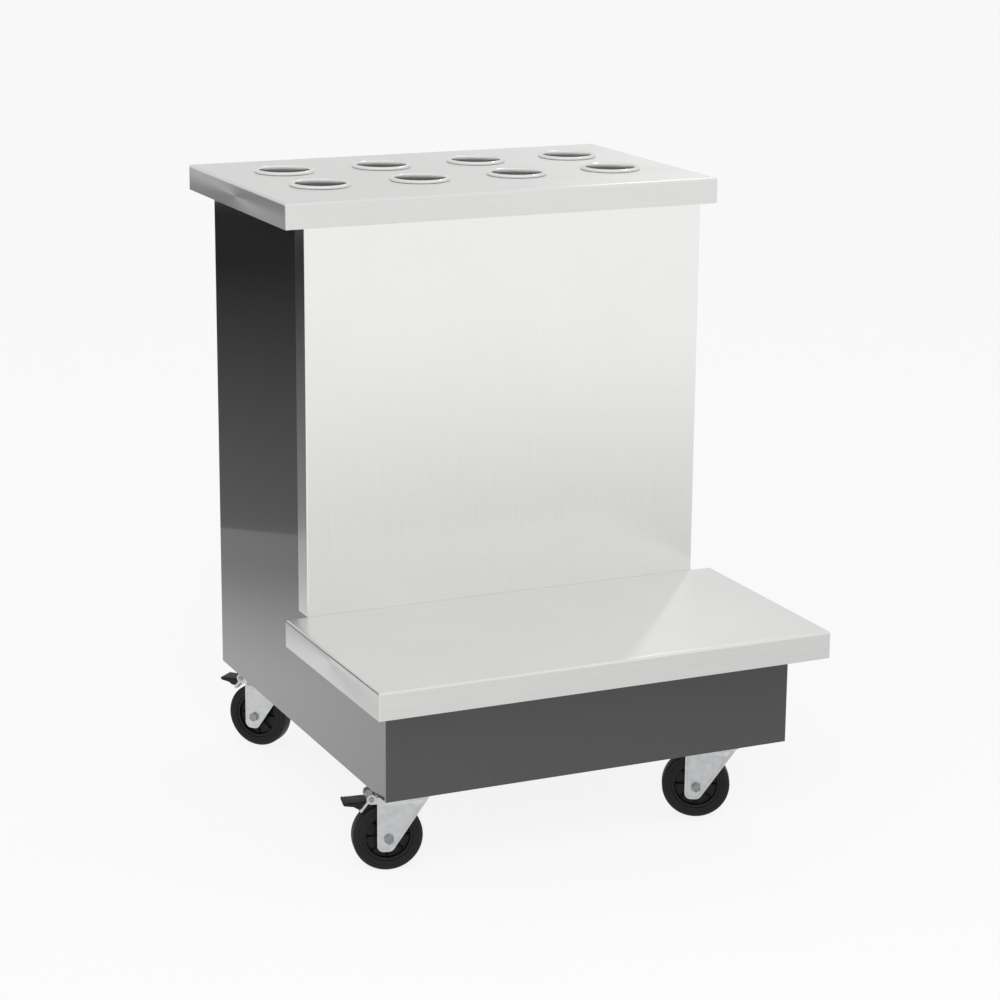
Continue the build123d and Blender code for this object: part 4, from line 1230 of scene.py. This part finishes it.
def pan_head():
    """Height at radius r: rim + (dome - rim) * sqrt(1 - (r / R)^DOME_POWER), minus the cross's depth.
    The rows lie closer together towards the head's rim, where the dome is steep."""
    radius = SCREW_HEAD * np.sqrt(np.linspace(0, 1, SCREW_ROWS)) ** 1.15
    a = np.linspace(0, 2 * np.pi, SCREW_STEPS, endpoint=False)
    x, y = radius[:, None] * np.cos(a), radius[:, None] * np.sin(a)
    fall = np.sqrt(np.maximum(0, 1 - (radius / SCREW_HEAD) ** DOME_POWER))
    arms = np.zeros_like(x)
    for length, breadth in ((x, y), (y, x)):
        inside = 1 - smooth_step(np.abs(breadth), CROSS_HALF - 0.15, CROSS_HALF + 0.15)
        arms = np.maximum(arms, inside * (1 - smooth_step(np.abs(length), CROSS_ARM - 0.3, CROSS_ARM)))
    dome = DOME_RIM + (DOME_HEIGHT - DOME_RIM) * fall
    top = np.stack([x, y, dome[:, None] - CROSS_DEPTH * arms], -1)
    profile = [(SCREW_HEAD, DOME_RIM), (SCREW_HEAD, 0), (SCREW_SHANK, 0), (SCREW_SHANK, -SCREW_LENGTH)]
    skirt = turned([*profile, (0, -SCREW_LENGTH)], SCREW_STEPS)
    return [grid(top, loop_columns=True), grid(skirt, loop_columns=True)]


def rear_screws():
    """The head's axis is laid along Y, and the screws are spaced evenly over the node's box."""
    low, high = (np.array(c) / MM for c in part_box("rear_screws"))
    face = high[1] - DOME_HEIGHT
    surfaces = []
    for x in (low[0] + SCREW_HEAD, high[0] - SCREW_HEAD):
        for z in np.linspace(low[2] + SCREW_HEAD, high[2] - SCREW_HEAD, SCREWS_EACH_SIDE):
            for points, quads in pan_head():
                laid = np.stack([x - points[:, 0], face + points[:, 2], z + points[:, 1]], -1)
                surfaces.append((laid, quads))
    return surfaces


make_piece("pan_head_screws", rear_screws(), "bright_fastener", "stand", "rear_screws", crease=30.0)
print("screws", 2 * SCREWS_EACH_SIDE)

# %% [markdown]
# Sixteen bolts hold the caster plates to the deck, with their heads below and their nuts above. They are
# made of the same hexagon, rod and thread as the axles.

# %% Caster bolts
BOLT_WIDTH = 13.0
BOLT_HEAD_HEIGHT = 5.3
BOLT_RADIUS = 4.0
NUT_SEAT = 169.5
NUT_HEIGHT = 6.5
BOLT_TIP = 178.0


def caster_bolts():
    """Four bolts to a plate, symmetric about its kingpin, with the outer ones on the node's box."""
    low, high = (np.array(c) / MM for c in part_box("caster_bolts"))
    half_x = high[0] - BOLT_WIDTH / math.sqrt(3) - kingpins["rear_right"][0]
    half_y = high[1] - BOLT_WIDTH / 2 - kingpins["rear_right"][1]
    plate = low[2] + BOLT_HEAD_HEIGHT
    head = hexagon(BOLT_WIDTH, BOLT_HEAD_HEIGHT) * (1, 1, -1) + (0, 0, plate)
    nut = hexagon(BOLT_WIDTH, NUT_HEIGHT, both_ends=True) + (0, 0, NUT_SEAT)
    shank = rod(BOLT_RADIUS, plate, NUT_SEAT, 24)
    tip = thread(BOLT_RADIUS, NUT_SEAT + NUT_HEIGHT - 1, BOLT_TIP)
    surfaces = []
    for kingpin in kingpins.values():
        for sx, sy in ((1, 1), (1, -1), (-1, 1), (-1, -1)):
            place = (kingpin[0] + sx * half_x, kingpin[1] + sy * half_y, 0.0)
            surfaces += [grid(shape + place, loop_columns=True) for shape in (head, nut, shank, tip)]
    print("bolt spacing", round(2 * half_x, 1), "x", round(2 * half_y, 1), "mm")
    return surfaces


make_piece("caster_bolts_and_nuts", caster_bolts(), "bright_fastener", "stand", "caster_bolts", crease=30.0)
print("triangles in new pieces", sum(triangles.values()))
